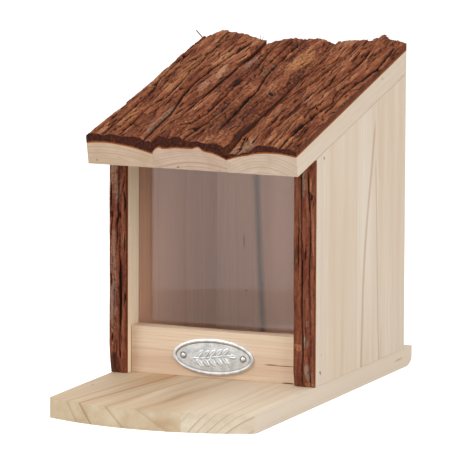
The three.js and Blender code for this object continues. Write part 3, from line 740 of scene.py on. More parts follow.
@dataclass(frozen=True)
class BarkFinish:
    """Air-dried pine bark: matt, red-brown plates with ochre streaks, dark cork in the cracks between them,
    and painted shade that darkens the cracks and hollows and lightens the raised tops.

    Each pattern has a size across and along the grain, which never runs along X. Real bark fibres are finer
    than 0.1 mm, and are drawn coarser, so that they show.
    """

    name: str
    cork: str = "#220e08"
    dark: str = "#542717"
    middle: str = "#7b4429"
    light: str = "#965f40"
    palest: str = "#b48a6c"
    hues: tuple[tuple[Paint, str], ...] = (
        (Paint.GREY, "#8f7b6b"),
        (Paint.PALE, "#a0795f"),
        (Paint.OCHRE, "#b0794e"),
        (Paint.SHADE, "#1d0b07"),
    )
    sawn: str = "#421d13"
    cambium: str = "#92501f"
    fibre_size: Point = (0.45, 7.0, 7.0)
    streak_size: Point = (2.6, 22.0, 22.0)
    dash_size: Point = (0.9, 5.0, 5.0)
    speck_size: Point = (1.1, 1.6, 1.6)
    blotch_size: Point = (9.0, 24.0, 24.0)
    dash_strength: float = 0.6
    roughness: float = 0.92
    ior: float = 1.45
    specular: float = 0.25
    relief: float = 0.3

    def material(self) -> Material:
        """Build the finish from the attributes that the bark's mesh carries.

        Returns:
            The material.
        """
        material, tree = new_material(self.name)
        read = {
            name: add_node(tree, "ShaderNodeAttribute", attribute_name=name).outputs["Fac"]
            for name in ("tone", "depth", "rise", "cut", *(paint.value for paint, _ in self.hues))
        }
        place = add_node(tree, "ShaderNodeTexCoord").outputs["Object"]
        fibres = self.spread(tree, place, self.fibre_size, 3.0)
        streaks = self.spread(tree, place, self.streak_size, 2.0)
        dashes = self.spread(tree, place, self.dash_size, 3.0)
        specks = self.spread(tree, place, self.speck_size, 4.0)
        blotches = self.spread(tree, place, self.blotch_size, 2.0)
        tone = add_node(tree, MATH, (read["tone"], 0.5), **TIMES)
        for layer, weight in ((streaks, 0.24), (fibres, 0.26), (specks, 0.1), (blotches, 0.2)):
            tone = add_node(tree, MATH, (layer, weight, tone), **TIMES_PLUS)
        hues = (self.cork, self.dark, self.middle, self.light, self.palest)
        part = add_node(tree, RANGE, (tone, 0.3, 1.05, 0.0, 1.0))
        colour = add_node(tree, RAMP, {"Fac": part}, stops=tuple(zip((0.0, 0.2, 0.5, 0.78, 1.0), hues)))
        mottle = add_node(tree, MATH, (specks, streaks), operation="ADD")
        for paint, hue in self.hues:
            least = 0.95 if paint is Paint.SHADE else 0.15
            patchy = add_node(tree, RANGE, (mottle, 0.7, 1.2, least, 1.0))
            amount = add_node(tree, MATH, (patchy, read[paint.value]), **TIMES)
            colour = add_node(tree, MIX, (amount, colour, linear(hue)), **COLOURS)
        dashed = add_node(tree, RANGE, (dashes, 0.78, 1.0, 0.0, self.dash_strength))
        colour = add_node(tree, MIX, (dashed, colour, linear(self.cork)), **COLOURS)
        # Painted shade and highlight: the colour darkens in hollows and lightens on raised tops by how far
        # each point stands out, and worn tops are paler too. The deepest hollows turn to dark cork, partly
        # as painted shade.
        cavity_shade_and_wear = add_node(tree, RANGE, (read["depth"], 0.0, 1.0, 0.5, 1.2))
        colour = add_node(tree, VECTOR_MATH, (colour, cavity_shade_and_wear), operation="SCALE")
        deep = add_node(tree, RANGE, (read["depth"], 0.05, 0.45, 0.92, 0.0))
        colour = add_node(tree, MIX, (deep, colour, linear(self.cork)), **COLOURS)
        colour = self.with_sawn_sides(tree, colour, read, specks, fibres)
        raised = add_node(tree, MATH, (fibres, 0.7), **TIMES)
        height = add_node(tree, MATH, (specks, 0.7, raised), **TIMES_PLUS)
        stand = {"Strength": 0.8, "Distance": self.relief * MM, "Height": height}
        bump = add_node(tree, "ShaderNodeBump", stand)
        shade(tree, colour, self.roughness, bump, IOR=self.ior, **{"Specular IOR Level": self.specular})
        return material

    @staticmethod
    def spread(tree: Tree, place: Feed, size: Point, detail: float) -> Feed:
        """Build a noise drawn out along the grain, spread from 0 to 1.

        Args:
            tree: The material's tree.
            place: The place in metres.
            size: The noise's size each way, in millimetres.
            detail: How many finer layers it has.

        Returns:
            The value.
        """
        raw = grained(tree, place, tuple(part * MM for part in size), detail)
        return add_node(tree, RANGE, (raw, 0.25, 0.75, 0.0, 1.0))

    def with_sawn_sides(
        self, tree: Tree, colour: Feed, read: dict[str, Feed], specks: Feed, fibres: Feed
    ) -> Feed:
        """Colour the sawn edges: dark cork over a thin orange line next to the wood.

        Args:
            tree: The material's tree.
            colour: The colour of the outer face.
            read: The mesh's attributes.
            specks: A fine noise.
            fibres: A noise along the grain.

        Returns:
            The colour with the sawn edges.
        """
        stops = ((0.0, self.cork), (0.35, self.sawn), (0.75, self.dark), (1.0, self.middle))
        added = add_node(tree, MATH, (specks, fibres), operation="ADD")
        crumbly = add_node(tree, MATH, (specks, added), **TIMES)
        part = add_node(tree, RANGE, (crumbly, 0.0, 1.6, 0.0, 1.0))
        cork = add_node(tree, RAMP, {"Fac": part}, stops=stops)
        uneven = add_node(tree, MATH, (specks, -0.5, read["rise"]), **TIMES_PLUS)
        normal = add_node(tree, "ShaderNodeNewGeometry").outputs["Normal"]
        facing = add_node(tree, "ShaderNodeSeparateXYZ", (normal,)).outputs["X"]
        squarely = add_node(tree, MATH, (facing,), operation="ABSOLUTE")
        aside = add_node(tree, RANGE, (squarely, 0.4, 0.9, 0.0, 0.75))
        torn = add_node(tree, MIX, (fibres, linear(self.dark), linear(self.middle)), **COLOURS)
        cork = add_node(tree, MIX, (aside, cork, torn), **COLOURS)
        inner = add_node(tree, RANGE, (uneven, 0.35, 0.85, 1.0, 0.0))
        edged = add_node(tree, MIX, (inner, cork, linear(self.cambium)), **COLOURS)
        return add_node(tree, MIX, (read["cut"], colour, edged), **COLOURS)


@dataclass(frozen=True)
class AcrylicFinish:
    """Clear acrylic sheet: glossy and see-through, and it mirrors the bright surroundings faintly."""

    name: str = "clear_acrylic_sheet"
    colour: str = "#fae8e4"
    shadow: str = "#e6d4ca"
    mirror: float = 0.7
    roughness: float = 0.01
    ior: float = 1.49

    def material(self) -> Material:
        """Build the finish, letting the lamps' light through to what stands behind.

        Returns:
            The material.
        """
        material, tree = new_material(self.name)
        inputs = {
            "Base Color": linear(self.colour),
            "Roughness": self.roughness,
            "IOR": self.ior,
            "Transmission Weight": 1.0,
            "Specular IOR Level": self.mirror,
        }
        clear = add_node(tree, "ShaderNodeBsdfPrincipled", inputs)
        through = add_node(tree, "ShaderNodeBsdfTransparent", {"Color": linear(self.shadow)})
        to_lamp = add_node(tree, "ShaderNodeLightPath").outputs["Is Shadow Ray"]
        mixed = add_node(tree, "ShaderNodeMixShader", (to_lamp, clear, through))
        add_node(tree, "ShaderNodeOutputMaterial", {"Surface": mixed})
        return material


@dataclass(frozen=True)
class MetalFinish:
    """Cast or plated metal: an even colour with fine specks in its sheen.

    Real grains are about 0.1 mm. They are drawn half a millimetre wide, so that they show.
    """

    name: str
    colour: str
    dark: str
    roughness: float
    # Colour of the painted shade in the hollows, if any.
    hollow_shade_colour: str = ""
    grit: float = 0.5
    cloud: float = 4.0
    rough_spread: float = 0.08
    relief: float = 0.02

    def material(self) -> Material:
        """Build the finish with a fine grain in its colour, roughness and height.

        Returns:
            The material.
        """
        material, tree = new_material(self.name)
        place = add_node(tree, "ShaderNodeTexCoord").outputs["Object"]
        grit = add_node(tree, NOISE, {"Vector": place, "Scale": 1 / (self.grit * MM), "Detail": 3.0})
        cloud = add_node(tree, NOISE, {"Vector": place, "Scale": 1 / (self.cloud * MM), "Detail": 2.0})
        mottle = add_node(tree, MATH, (grit, cloud), **TIMES)
        part = add_node(tree, RANGE, (mottle, 0.15, 0.35, 0.0, 1.0))
        colour = add_node(tree, MIX, (part, linear(self.dark), linear(self.colour)), **COLOURS)
        # Painted shade: a brown that darkens the hollows the mesh marks.
        if self.hollow_shade_colour:
            hollow_shade = add_node(tree, "ShaderNodeAttribute", attribute_name="hollow_shade").outputs["Fac"]
            colour = add_node(tree, MIX, (hollow_shade, colour, linear(self.hollow_shade_colour)), **COLOURS)
        least, most = self.roughness - self.rough_spread, self.roughness + self.rough_spread
        rough = add_node(tree, RANGE, (grit, 0.3, 0.7, least, most))
        stand = {"Strength": 0.5, "Distance": self.relief * MM, "Height": grit}
        bump = add_node(tree, "ShaderNodeBump", stand)
        shade(tree, colour, rough, bump, Metallic=1.0)
        return material


# Boards


@dataclass
class EasedPiece:
    """A CAD solid with its sharp edges eased: a planed board or a pressed leaf."""

    node: str
    body: Body
    slot: Slot
    material: Material
    ease: float = 0.3
    kept_sharp: Callable[[Vector], bool] | None = None
    least_edge: float = 3.0
    least_angle: float = math.radians(35)

    def build(self) -> Piece:
        """Build the piece and put it in its node's place.

        Returns:
            The piece.
        """
        solid = node_copy(self.node)
        sharp = [edge for edge in solid.edges if self.is_eased(edge)]
        sizes = {"offset": self.ease * MM, "segments": 2, "profile": 0.6, "clamp_overlap": True}
        bmesh.ops.bevel(solid, geom=sharp, offset_type="OFFSET", affect="EDGES", **sizes)
        mesh = bpy.data.meshes.new(f"{self.node}_eased")
        solid.to_mesh(mesh)
        solid.free()
        piece = link_mesh(mesh.name, mesh, self.material)
        return finish_piece(piece, self.body, [self.node])

    def is_eased(self, edge: bmesh.types.BMEdge) -> bool:
        """Tell the piece's own sharp edges from round ones, holes' short rims and glued joints.

        Args:
            edge: The edge.

        Returns:
            Whether it is eased.
        """
        if len(edge.link_faces) != 2 or edge.calc_face_angle(0) < self.least_angle:
            return False
        if edge.calc_length() < self.least_edge * MM:
            return False
        return not (self.kept_sharp and all(self.kept_sharp(v.co / MM) for v in edge.verts))


# Bark


@dataclass(frozen=True)
class Fissure:
    """A crack between scales: its line as places across and along the bark, its width and depth."""

    line: Places
    width: float = 0.9
    depth: float = 1.2


@dataclass(frozen=True)
class Patch:
    """A patch on the bark: what shows there, its middle, its half sizes and how it stands out."""

    paint: Paint
    across: float
    along: float
    half_width: float
    half_length: float
    strength: float = 1.0
    lift: float = 0.0

    def share(self, across: Array, along: Array, seed: int) -> Array:
        """Work out how much of the patch lies at each place, with a ragged edge.

        Args:
            across: Places across the bark.
            along: Places along the grain.
            seed: Picks the edge.

        Returns:
            The share at each place.
        """
        rag = 0.4 * noise(across / 1.5, along / 3.5, seed, 3)
        size = np.hypot((across - self.across) / self.half_width, (along - self.along) / self.half_length)
        return 1 - smoothstep(0.7, 1.0, size + rag)


@dataclass(frozen=True)
class Scales:
    """One layer of scales: their size, the step and lean between neighbours, and the crack round each."""

    width: float
    length: float
    step: float
    lean: float
    crack_width: float
    crack_depth: float
    tone: float


ROOF_SCALES = (
    Scales(8.0, 60.0, 0.7, 0.7, 0.6, 0.6, 0.4),
    Scales(3.2, 22.0, 0.6, 0.5, 0.4, 0.4, 0.4),
    Scales(1.2, 6.0, 0.22, 0.15, 0.2, 0.1, 0.2),
)
POST_SCALES = (
    Scales(4.5, 60.0, 0.3, 0.3, 0.4, 0.12, 0.3),
    Scales(2.2, 26.0, 0.16, 0.14, 0.3, 0.06, 0.3),
    Scales(0.9, 6.0, 0.06, 0.05, 0.2, 0.03, 0.2),
)


@dataclass(frozen=True)
class BarkRelief:
    """The scales, cracks and fibres of one sheet of bark, over its width and length in millimetres."""

    seed: int
    scales: tuple[Scales, ...] = ROOF_SCALES
    fibre_height: float = 0.12
    crumb_height: float = 0.14
    crumb_tone: float = 0.15
    warmth: float = 0.0
    cracks: int = 110
    crack_length: tuple[float, float] = (4, 16)
    crack_lean: tuple[float, float] = (0.06, 0.08)
    crack_width: tuple[float, float] = (0.35, 0.8)
    slivers: int = 24
    lip_reach: float = 2.6
    lip_share: float = 0.45
    fissures: tuple[Fissure, ...] = ()
    patches: tuple[Patch, ...] = ()

    def fields(self, across: Array, along: Array) -> dict[str, Array]:
        """Work out the relief and what colours it.

        Args:
            across: Places across the bark.
            along: Places along the grain.

        Returns:
            The relief in millimetres as "relief", and the values from 0 to 1 that the finish reads.
        """
        seed = self.seed
        bend = 2.2 * noise(across / 21, along / 60, seed, 2)
        bend += 0.5 * noise(across / 5, along / 20, seed + 1, 2)
        rag = 2.6 * noise(across / 1.1, along / 9, seed + 2, 2)
        open_share = smoothstep(-0.1, 0.6, noise(across / 14, along / 45, seed + 3, 2))
        crumbs = noise(across / 1.1, along / 1.8, seed + 5, 3)
        relief = self.fibre_height * noise((across + bend) / 0.5, along / 9, seed + 4, 2)
        relief = relief + self.crumb_height * crumbs
        tone = self.warmth + self.crumb_tone * crumbs
        for number, layer in enumerate(self.scales):
            split = cells((across + bend) / layer.width, (along + rag) / layer.length, seed + 10 * number)
            crack = 1 - smoothstep(0.0, layer.crack_width / layer.width, split.gap)
            relief += layer.step * (split.value - 0.5) + layer.lean * split.side * np.cos(40 * split.value)
            relief -= layer.crack_depth * crack * open_share
            tone += layer.tone * split.value
        opened = self.opened(across, along)
        relief -= opened
        paints = {paint.value: np.zeros_like(across) for paint in Paint}
        # The open fissures get painted shadow as well as their depth.
        paints[Paint.SHADE.value] = smoothstep(0.25, 0.9, opened)
        for number, patch in enumerate(self.patches):
            share = patch.share(across, along, seed + 100 + number)
            relief += patch.lift * share
            paint = patch.paint.value
            paints[paint] = np.maximum(paints[paint], patch.strength * share)
        return {"relief": relief, "tone": tone, **paints}

    def small_cracks(self, across: Array, along: Array) -> list[Fissure]:
        """Strew short cracks that open aslant between the fibres.

        Args:
            across: Places across the bark.
            along: Places along the grain.

        Returns:
            The cracks.
        """
        rng = np.random.default_rng(self.seed)
        found = []
        for _ in range(self.cracks):
            length = rng.uniform(*self.crack_length)
            start = rng.uniform((across.min(), along.min()), (across.max(), along.max() - length))
            end = start + (length * rng.normal(*self.crack_lean), length)
            size = rng.uniform(*self.crack_width)
            found.append(Fissure((tuple(start), tuple(end)), size, 1.3 * size))
        return found

    def opened(self, across: Array, along: Array) -> Array:
        """Work out how deep the fissures are, less the lip that stands up at one side of each.

        Args:
            across: Places across the bark.
            along: Places along the grain.

        Returns:
            The depth at each place, in millimetres.
        """
        depth = np.zeros_like(across)
        lip = np.zeros_like(across)
        wobble = 0.5 * noise(across / 2.2, along / 7, self.seed + 90, 2)
        for number, fissure in enumerate((*self.fissures, *self.small_cracks(across, along))):
            points = np.array(fissure.line, float)
            lengths = np.hypot(*np.diff(points, axis=0).T)
            passed = 0.0
            for start, end, length in zip(points[:-1], points[1:], lengths):
                step = end - start
                du, dv = across + wobble - start[0], along - start[1]
                t = np.clip((du * step[0] + dv * step[1]) / length**2, 0, 1)
                away = np.hypot(du - t * step[0], dv - t * step[1])
                place = np.clip((passed + t * length) / lengths.sum(), 0.03, 0.97)
                taper = np.sqrt(np.sin(np.pi * place))
                inside = 1 - smoothstep(0.3, 1.0, away / (fissure.width * taper))
                depth = np.maximum(depth, fissure.depth * inside * taper)
                beside = np.sign(du * step[1] - dv * step[0]) == (-1) ** number
                near = (1 - smoothstep(0.0, 1.0, away / self.lip_reach)) * taper * beside
                lip = np.maximum(lip, self.lip_share * fissure.depth * near)
                passed += length
        return depth - np.where(depth > 0.05, 0, lip)


@dataclass(frozen=True)
class Sliver:
    """A thin splinter that stands off the bark: its start and end across, along and up, and its size."""

    start: Point
    end: Point
    width: float = 0.8
    thickness: float = 0.3
    tip_share: float = 0.25
    rings: int = 6

    def mesh(self) -> tuple[Array, Array]:
        """Build the splinter as rings of four points.

        Returns:
            The points, and the faces' corners by number.
        """
        t = np.linspace(0, 1, self.rings)[:, None]
        way = np.array(self.end) - np.array(self.start)
        way = way / np.linalg.norm(way)
        side = np.cross(way, (0, 0, 1))
        side = side / np.linalg.norm(side)
        top = np.cross(side, way)
        middle = np.array(self.start) * (1 - t) + np.array(self.end) * t + 0.15 * top * np.sin(np.pi * t)
        narrowing = 1 - (1 - self.tip_share) * t
        width = self.width / 2 * narrowing * (0.85 + 0.15 * np.sin(9 * t))
        thickness = self.thickness / 2 * narrowing
        corners = ((1, 0), (0, 1), (-1, 0), (0, -1))
        points = np.stack([middle + width * a * side + thickness * b * top for a, b in corners], 1)
        faces = [[0, 1, 2, 3], [4 * self.rings - 1 - k for k in range(4)]]
        for ring in range(self.rings - 1):
            low, high = 4 * ring, 4 * ring + 4
            for k in range(4):
                after = (k + 1) % 4
                faces.append([high + k, high + after, low + after, low + k])
        return points.reshape(-1, 3), np.array(faces)


@dataclass
class BarkSheet:
    """One sheet of bark: its CAD solid's seat and main plates, with fine scales laid over them."""

    node: str
    body: Body
    slot: Slot
    finish: Material
    relief: BarkRelief
    slivers: tuple[Sliver, ...] = ()
    grid: float = 0.3
    sample_step: float = 0.7
    sample_row_step: float = 3.5
    sample_margin: float = 0.001
    sample_reach: float = 60.0
    under_block: int = 5
    rim_levels: int = 6
    rim_wear: float = 0.35
    least: float = 0.5
    sink: float = 0.35
    hollow_reach: float = 1.5
    calm_length: float = 14.0
    calm_reach: float = 5.0
    calm_share: float = 0.3
    smooth_angle: float = math.radians(38)
    splinter_length: tuple[float, float] = (2.5, 8.0)
    splinter_lift: tuple[float, float] = (0.1, 0.6)
    splinter_width: tuple[float, float] = (0.4, 1.1)
    splinter_thickness: tuple[float, float] = (0.15, 0.3)

    def point(self, across: Array, share: Array, height: Array) -> Array:
        """Turn places across, shares along and heights to points, in millimetres."""
        raise NotImplementedError

    def span(self) -> tuple[float, float, float]:
        """Find the sheet's lowest and highest place across, and its length."""
        raise NotImplementedError

    def build(self) -> Piece:
        """Build the sheet and put it in its node's place.

        Returns:
            The piece.
        """
        low, high, length = self.span()
        columns = self.under_block * round((high - low) / self.grid / self.under_block)
        rows = self.under_block * round(length / self.grid / self.under_block)
        across_shares = np.linspace(0, 1, columns + 1)
        shares = np.linspace(0, 1, rows + 1)
        seat, top = (finer(net, shares, across_shares) for net in self.sampled(low, high, length))
        across, along = np.meshgrid(low + (high - low) * across_shares, length * shares)
        fields = self.relief.fields(across, along)
        seat -= self.sink
        calm = smoothstep(length - self.calm_length, length, along)
        top -= calm * stands_out(top, round(self.calm_reach / self.grid))
        height = np.maximum(seat + self.least, top + fields.pop("relief") * (1 - self.calm_share * calm))
        # How far each point stands above its surroundings, which the finish turns into painted shade in the
        # hollows and a painted highlight on the tops.
        fields["depth"] = smoothstep(-0.55, 0.35, stands_out(height, round(self.hollow_reach / self.grid)))
        mesh = self.closed(across, along, seat, height, fields, length)
        piece = link_mesh(mesh.name, mesh, self.finish)
        return finish_piece(piece, self.body, [self.node])

    def sampled(self, low: float, high: float, length: float) -> tuple[Array, Array]:
        """Read the heights of the solid's seat and outer face on an even net.

        Args:
            low: The sheet's lowest place across.
            high: Its highest place across.
            length: Its length.

        Returns:
            The net of the seat and the net of the outer face.
        """
        mesh = frame["nodes"][self.node].data
        faces = [tuple(face.vertices) for face in mesh.polygons]
        tree = BVHTree.FromPolygons([v.co for v in mesh.vertices], faces)
        margin, reach = self.sample_margin, self.sample_reach
        columns = round((high - low) / self.sample_step)
        rows = round(length / self.sample_row_step)
        sides, share = np.meshgrid(*(np.linspace(margin, 1 - margin, count) for count in (columns, rows)))
        across = low + (high - low) * sides
        starts = self.point(across, share, np.full_like(across, -1.0)).reshape(-1, 3)
        ends = self.point(across, share, np.full_like(across, reach)).reshape(-1, 3)
        seat, top = [], []
        for start, end in zip(starts, ends):
            way = Vector(end - start)
            near = tree.ray_cast(Vector(start) * MM, way)
            far = tree.ray_cast(Vector(end) * MM, -way)
            seat.append((reach + 1) * near[3] / MM / way.length - 1)
            top.append(reach - (reach + 1) * far[3] / MM / way.length)
        return np.reshape(seat, across.shape), np.reshape(top, across.shape)

    def scattered(self, across: Array, along: Array, height: Array) -> list[Sliver]:
        """Strew short loose splinters over the sheet, each with one end stuck down.

        Args:
            across: Places across, on the sheet's net.
            along: Places along.
            height: Heights of the outer face.

        Returns:
            The splinters.
        """
        rng = np.random.default_rng(self.relief.seed)
        rows, columns = height.shape
        found = []
        for _ in range(self.relief.slivers):
            length = rng.uniform(*self.splinter_length)
            row = int(rng.uniform(0.03, 0.97) * (rows - length / self.grid - 2))
            column = int(rng.uniform(0.04, 0.96) * columns)
            far = (row + int(length / self.grid), int(np.clip(column + rng.normal(0, 1.2), 0, columns - 1)))
            lift = rng.uniform(*self.splinter_lift)
            start = (across[row, column], along[row, column], height[row, column] - 0.1)
            end = (across[far], along[far], height[far] + lift)
            width = rng.uniform(*self.splinter_width)
            found.append(Sliver(start, end, width, rng.uniform(*self.splinter_thickness)))
        return found

    def under_faces(self, low: Array) -> list[Array]:
        """Close the underside with blocks that keep every point of the rim.

        Args:
            low: The lower net's point numbers.

        Returns:
            Each block's corners by number.
        """
        last_row, last_column = low.shape[0] - 1, low.shape[1] - 1
        faces = []
        for r0 in range(0, last_row, self.under_block):
            for c0 in range(0, last_column, self.under_block):
                r1, c1 = r0 + self.under_block, c0 + self.under_block
                left = low[r0:r1, c0] if c0 == 0 else low[[r0], c0]
                far = low[r1, c0:c1] if r1 == last_row else low[r1, [c0]]
                right = low[r1:r0:-1, c1] if c1 == last_column else low[[r1], c1]
                near = low[r0, c1:c0:-1] if r0 == 0 else low[r0, [c1]]
                faces.append(np.concatenate([left, far, right, near]))
        return faces

    def closed(
        self,
        across: Array,
        along: Array,
        seat: Array,
        height: Array,
        fields: dict[str, Array],
        length: float,
    ) -> bpy.types.Mesh:
        """Close the sheet between its seat and its outer face, with loose splinters beside it.

        Args:
            across: Places across, on the sheet's net.
            along: Places along.
            seat: Heights of the seat.
            height: Heights of the outer face.
            fields: The values that the finish reads.
            length: The sheet's length.

        Returns:
            The mesh, with its values as attributes.
        """
        net = np.arange(height.size).reshape(height.shape)
        rim = np.concatenate([net[0, :-1], net[:-1, -1], net[-1, :0:-1], net[:0:-1, 0]])
        upper = np.stack([across.ravel(), along.ravel(), height.ravel()], -1)
        lower = np.stack([across.ravel(), along.ravel(), seat.ravel()], -1)
        levels = [rim + height.size]
        parts = [upper, lower]
        owners = [np.arange(height.size), np.arange(height.size)]
        inward = self.inward(height.shape)
        total = 2 * height.size
        for level in range(1, self.rim_levels):
            share = level / self.rim_levels
            ring = lower[rim] * (1 - share) + upper[rim] * share
            around = np.cumsum(np.full(len(rim), self.grid))
            wear = 0.5 + 0.5 * noise(around / 1.3, ring[:, 2] / 0.9, self.relief.seed + 7, 2)
            ring[:, :2] += inward * (self.rim_wear * wear)[:, None]
            parts.append(ring)
            owners.append(rim)
            levels.append(np.arange(total, total + len(rim)))
            total += len(rim)
        levels.append(rim)
        quads = [np.stack([net[:-1, :-1], net[:-1, 1:], net[1:, 1:], net[1:, :-1]], -1).reshape(-1, 4)]
        outer = len(quads[0])
        for below, above in zip(levels, levels[1:]):
            quads.append(np.stack([below, np.roll(below, -1), np.roll(above, -1), above], -1))
        sawn = sum(len(q) for q in quads) - outer
        solid = total
        for sliver in (*self.scattered(across, along, height), *self.slivers):
            points, faces = sliver.mesh()
            quads.append(faces + total)
            parts.append(points)
            total += len(points)
        under = self.under_faces(net + height.size)
        places = np.concatenate(parts)
        owner = np.concatenate(owners + [np.zeros(total - solid, int)])
        rise = np.where(np.arange(total) < solid, places[:, 2] - seat.ravel()[owner], 9.0)
        corners = np.concatenate([q.ravel() for q in quads] + under)
        sizes = np.array([4] * sum(len(q) for q in quads) + [len(face) for face in under])
        used, corners = np.unique(corners, return_inverse=True)
        owner, rise, places = owner[used], rise[used], places[used]
        in_sheet = used < solid
        values = {}
        for name, value in fields.items():
            values[name] = np.where(in_sheet, value.ravel()[owner], value.mean())
        points = self.point(places[:, 0], places[:, 1] / length, places[:, 2]) * MM
        mesh = mesh_of(f"{self.node}_grown", points, corners, sizes)
        write_values(mesh, "POINT", {**values, "rise": rise})
        face = np.arange(len(sizes))
        is_sawn = (face >= outer) & (face < outer + sawn)
        write_values(mesh, "FACE", {"cut": is_sawn})
        mesh.polygons.foreach_set("use_smooth", face < outer + sawn)
        mesh.set_sharp_from_angle(angle=self.smooth_angle)
        return mesh

    @staticmethod
    def inward(shape: tuple[int, int]) -> Array:
        """Find the way in from each point of the rim.

        Args:
            shape: The net's rows and columns.

        Returns:
            The ways in the rim's order, with none at the corners.
        """
        rows, columns = shape
        sides = ((columns - 1, (0, 1)), (rows - 1, (-1, 0)), (columns - 1, (0, -1)), (rows - 1, (1, 0)))
        return np.concatenate([[(0, 0)] + [way] * (count - 1) for count, way in sides]).astype(float)


@dataclass
class RoofBark(BarkSheet):
    """Bark on a lid slab: its front end is sawn square to the slope, so it leans forward."""

    rear: float = 0.0
    rear_height: float = 0.0
    front: float = 0.0

    def point(self, across: Array, share: Array, height: Array) -> Array:
        """Find points above the lid's underside.

        Args:
            across: Places across the lid.
            share: Shares of the length up the slope.
            height: Heights above the underside.

        Returns:
            The points in millimetres.
        """
        lean = height * math.sin(LID_SLOPE) * math.cos(LID_SLOPE)
        y = (self.front - lean) * (1 - share) + self.rear * share
        z = self.rear_height - (self.rear - y) * math.tan(LID_SLOPE) + height
        return np.stack([across, y, z], -1)

    def span(self) -> tuple[float, float, float]:
        """Find the slab's sides and its length down the slope."""
        low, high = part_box(self.node)
        return low.x / MM, high.x / MM, (self.rear - self.front) / math.cos(LID_SLOPE)


@dataclass
class PostBark(BarkSheet):
    """Bark on a post's front face, standing up."""

    def point(self, across: Array, share: Array, height: Array) -> Array:
        """Find points in front of the post.

        Args:
            across: Places across the post.
            share: Shares of its height.
            height: How far out they are.

        Returns:
            The points in millimetres.
        """
        low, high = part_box(self.node)
        foot, head = low.z / MM, high.z / MM
        return np.stack([across, high.y / MM - height, foot + (head - foot) * share], -1)

    def span(self) -> tuple[float, float, float]:
        """Find the post's sides and its height."""
        low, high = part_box(self.node)
        return low.x / MM, high.x / MM, (high.z - low.z) / MM


# Sub-assemblies


@dataclass
class Base:
    """The base: two staves glued edge to edge."""

    joint_x: float = 22.6

    def build(self) -> list[Piece]:
        """Build both staves.

        Returns:
            The pieces.
        """
        return [
            EasedPiece(node, Body.BOX, Slot.BASE_WOOD, finish.material(), kept_sharp=self.is_joint).build()
            for node, finish in self.finishes().items()
        ]

    def is_joint(self, place: Vector) -> bool:
        """Tell whether a place is in the glued joint."""
        return abs(place.x - self.joint_x) < 0.05

    @staticmethod
    def finishes() -> dict[str, PineFinish]:
        """Give each stave its own wood.

        Returns:
            The finishes by node.
        """
        left = PineFinish(
            name="planed_pine_base_left",
            face=("#d1ba9d", "#af8960"),
            end=("#d2c0a3", "#b08e64"),
            grain=GrainAxis.ALONG,
            pith=(40.0, -120.0, 58.0),
            lean=-0.115,
            ring_width=7.0,
            ring_strength=0.28,
            wander=2.5,
            band_strength=0.45,
            overlays=(
                Mark((22.0, -60.0, 11.2), (17.0, 110.0, 6.0), "#e2cdb1", 0.65, 1.0),
                Mark((-13.0, -70.0, 11.2), (7.0, 60.0, 6.0), "#dcc8ad", 0.7, 1.0),
                Mark((-17.0, -122.0, 5.0), (9.0, 14.0, 7.0), "#d9c7ad", 0.7, 1.0),
                Mark((-28.0, -28.0, 11.2), (15.0, 46.0, 4.0), "#b98a58", 0.5, 1.0, (0.0, 0.0, 0.115)),
                Mark((2.6, -82.0, 11.2), (5.0, 48.0, 3.0), "#a98560", 0.5, 1.0),
                Mark((12.0, -124.0, 5.0), (11.0, 9.0, 4.5), "#b28a60", 0.6, 1.0),
                *(
                    Seam(((x, y, 11.2), (rear_x, rear_y, 11.2), low), colour, strength, before, after)
                    for x, y, rear_x, rear_y, low, colour, strength, before, after in (
                        (-39.6, -117.0, -25.5, -26.3, (-32.1, -122.4, 0.2), "#96683c", 0.62, 1.9, 0.5),
                        (-22.3, -119.5, -12.0, -30.0, (-11.5, -125.5, 0.1), "#a37850", 0.5, 1.5, 0.5),
                        (-49.0, -117.0, -38.0, -26.3, (-42.0, -121.0, 0.2), "#a37c52", 0.32, 2.2, 0.6),
                        (-3.0, -124.0, 8.0, -30.0, (10.0, -125.5, 3.0), "#a07850", 0.3, 2.6, 0.8),
                    )
                ),
                Mark((-56.0, -65.5, 11.2), (0.8, 1.4, 0.8), "#7d5736", 0.8),
            ),
        )
        right = PineFinish(
            name="planed_pine_base_right",
            face=("#e2d2bb", "#c2a27d"),
            end=("#e0d3bd", "#ab855c"),
            grain=GrainAxis.ALONG,
            pith=(90.0, 0.0, -49.0),
            ring_width=4.6,
            ring_strength=0.7,
            wander=1.0,
            band_strength=0.3,
            overlays=(
                Mark((62.4, 0.0, 5.6), (1.4, 400.0, 30.0), "#dbcbb7", 0.8, 0.3),
                Mark((62.0, 100.5, 13.0), (1.0, 7.0, 1.6), "#b9966c", 0.5, 1.0),
                Mark((62.0, 105.0, 6.0), (1.0, 10.0, 1.2), "#a98358", 0.6, 1.0),
            ),
        )
        return {"base_stave_left": left, "base_stave_right": right}


BRAD_STAINS = (
    Mark((62.0, -13.4, 139.5), (1.0, 0.9, 1.3), "#5a4030", 0.9),
    Mark((62.0, -17.9, 18.7), (1.0, 0.9, 1.1), "#6b4c36", 0.9),
    Mark((62.0, -15.8, 28.4), (1.0, 0.8, 0.8), "#a08468", 0.6),
)
SIDE_LINE = (
    (5.0, 45.2),
    (12.7, 45.4),
    (32.7, 46.6),
    (55.6, 47.7),
    (78.2, 50.4),
    (100.6, 54.6),
    (125.7, 60.4),
    (152.0, 65.6),
)
BACK_LINE = ((12.0, -23.0), (18.5, -23.1), (34.9, -23.8), (76.0, -25.9), (107.7, -27.3), (138.0, -29.0))


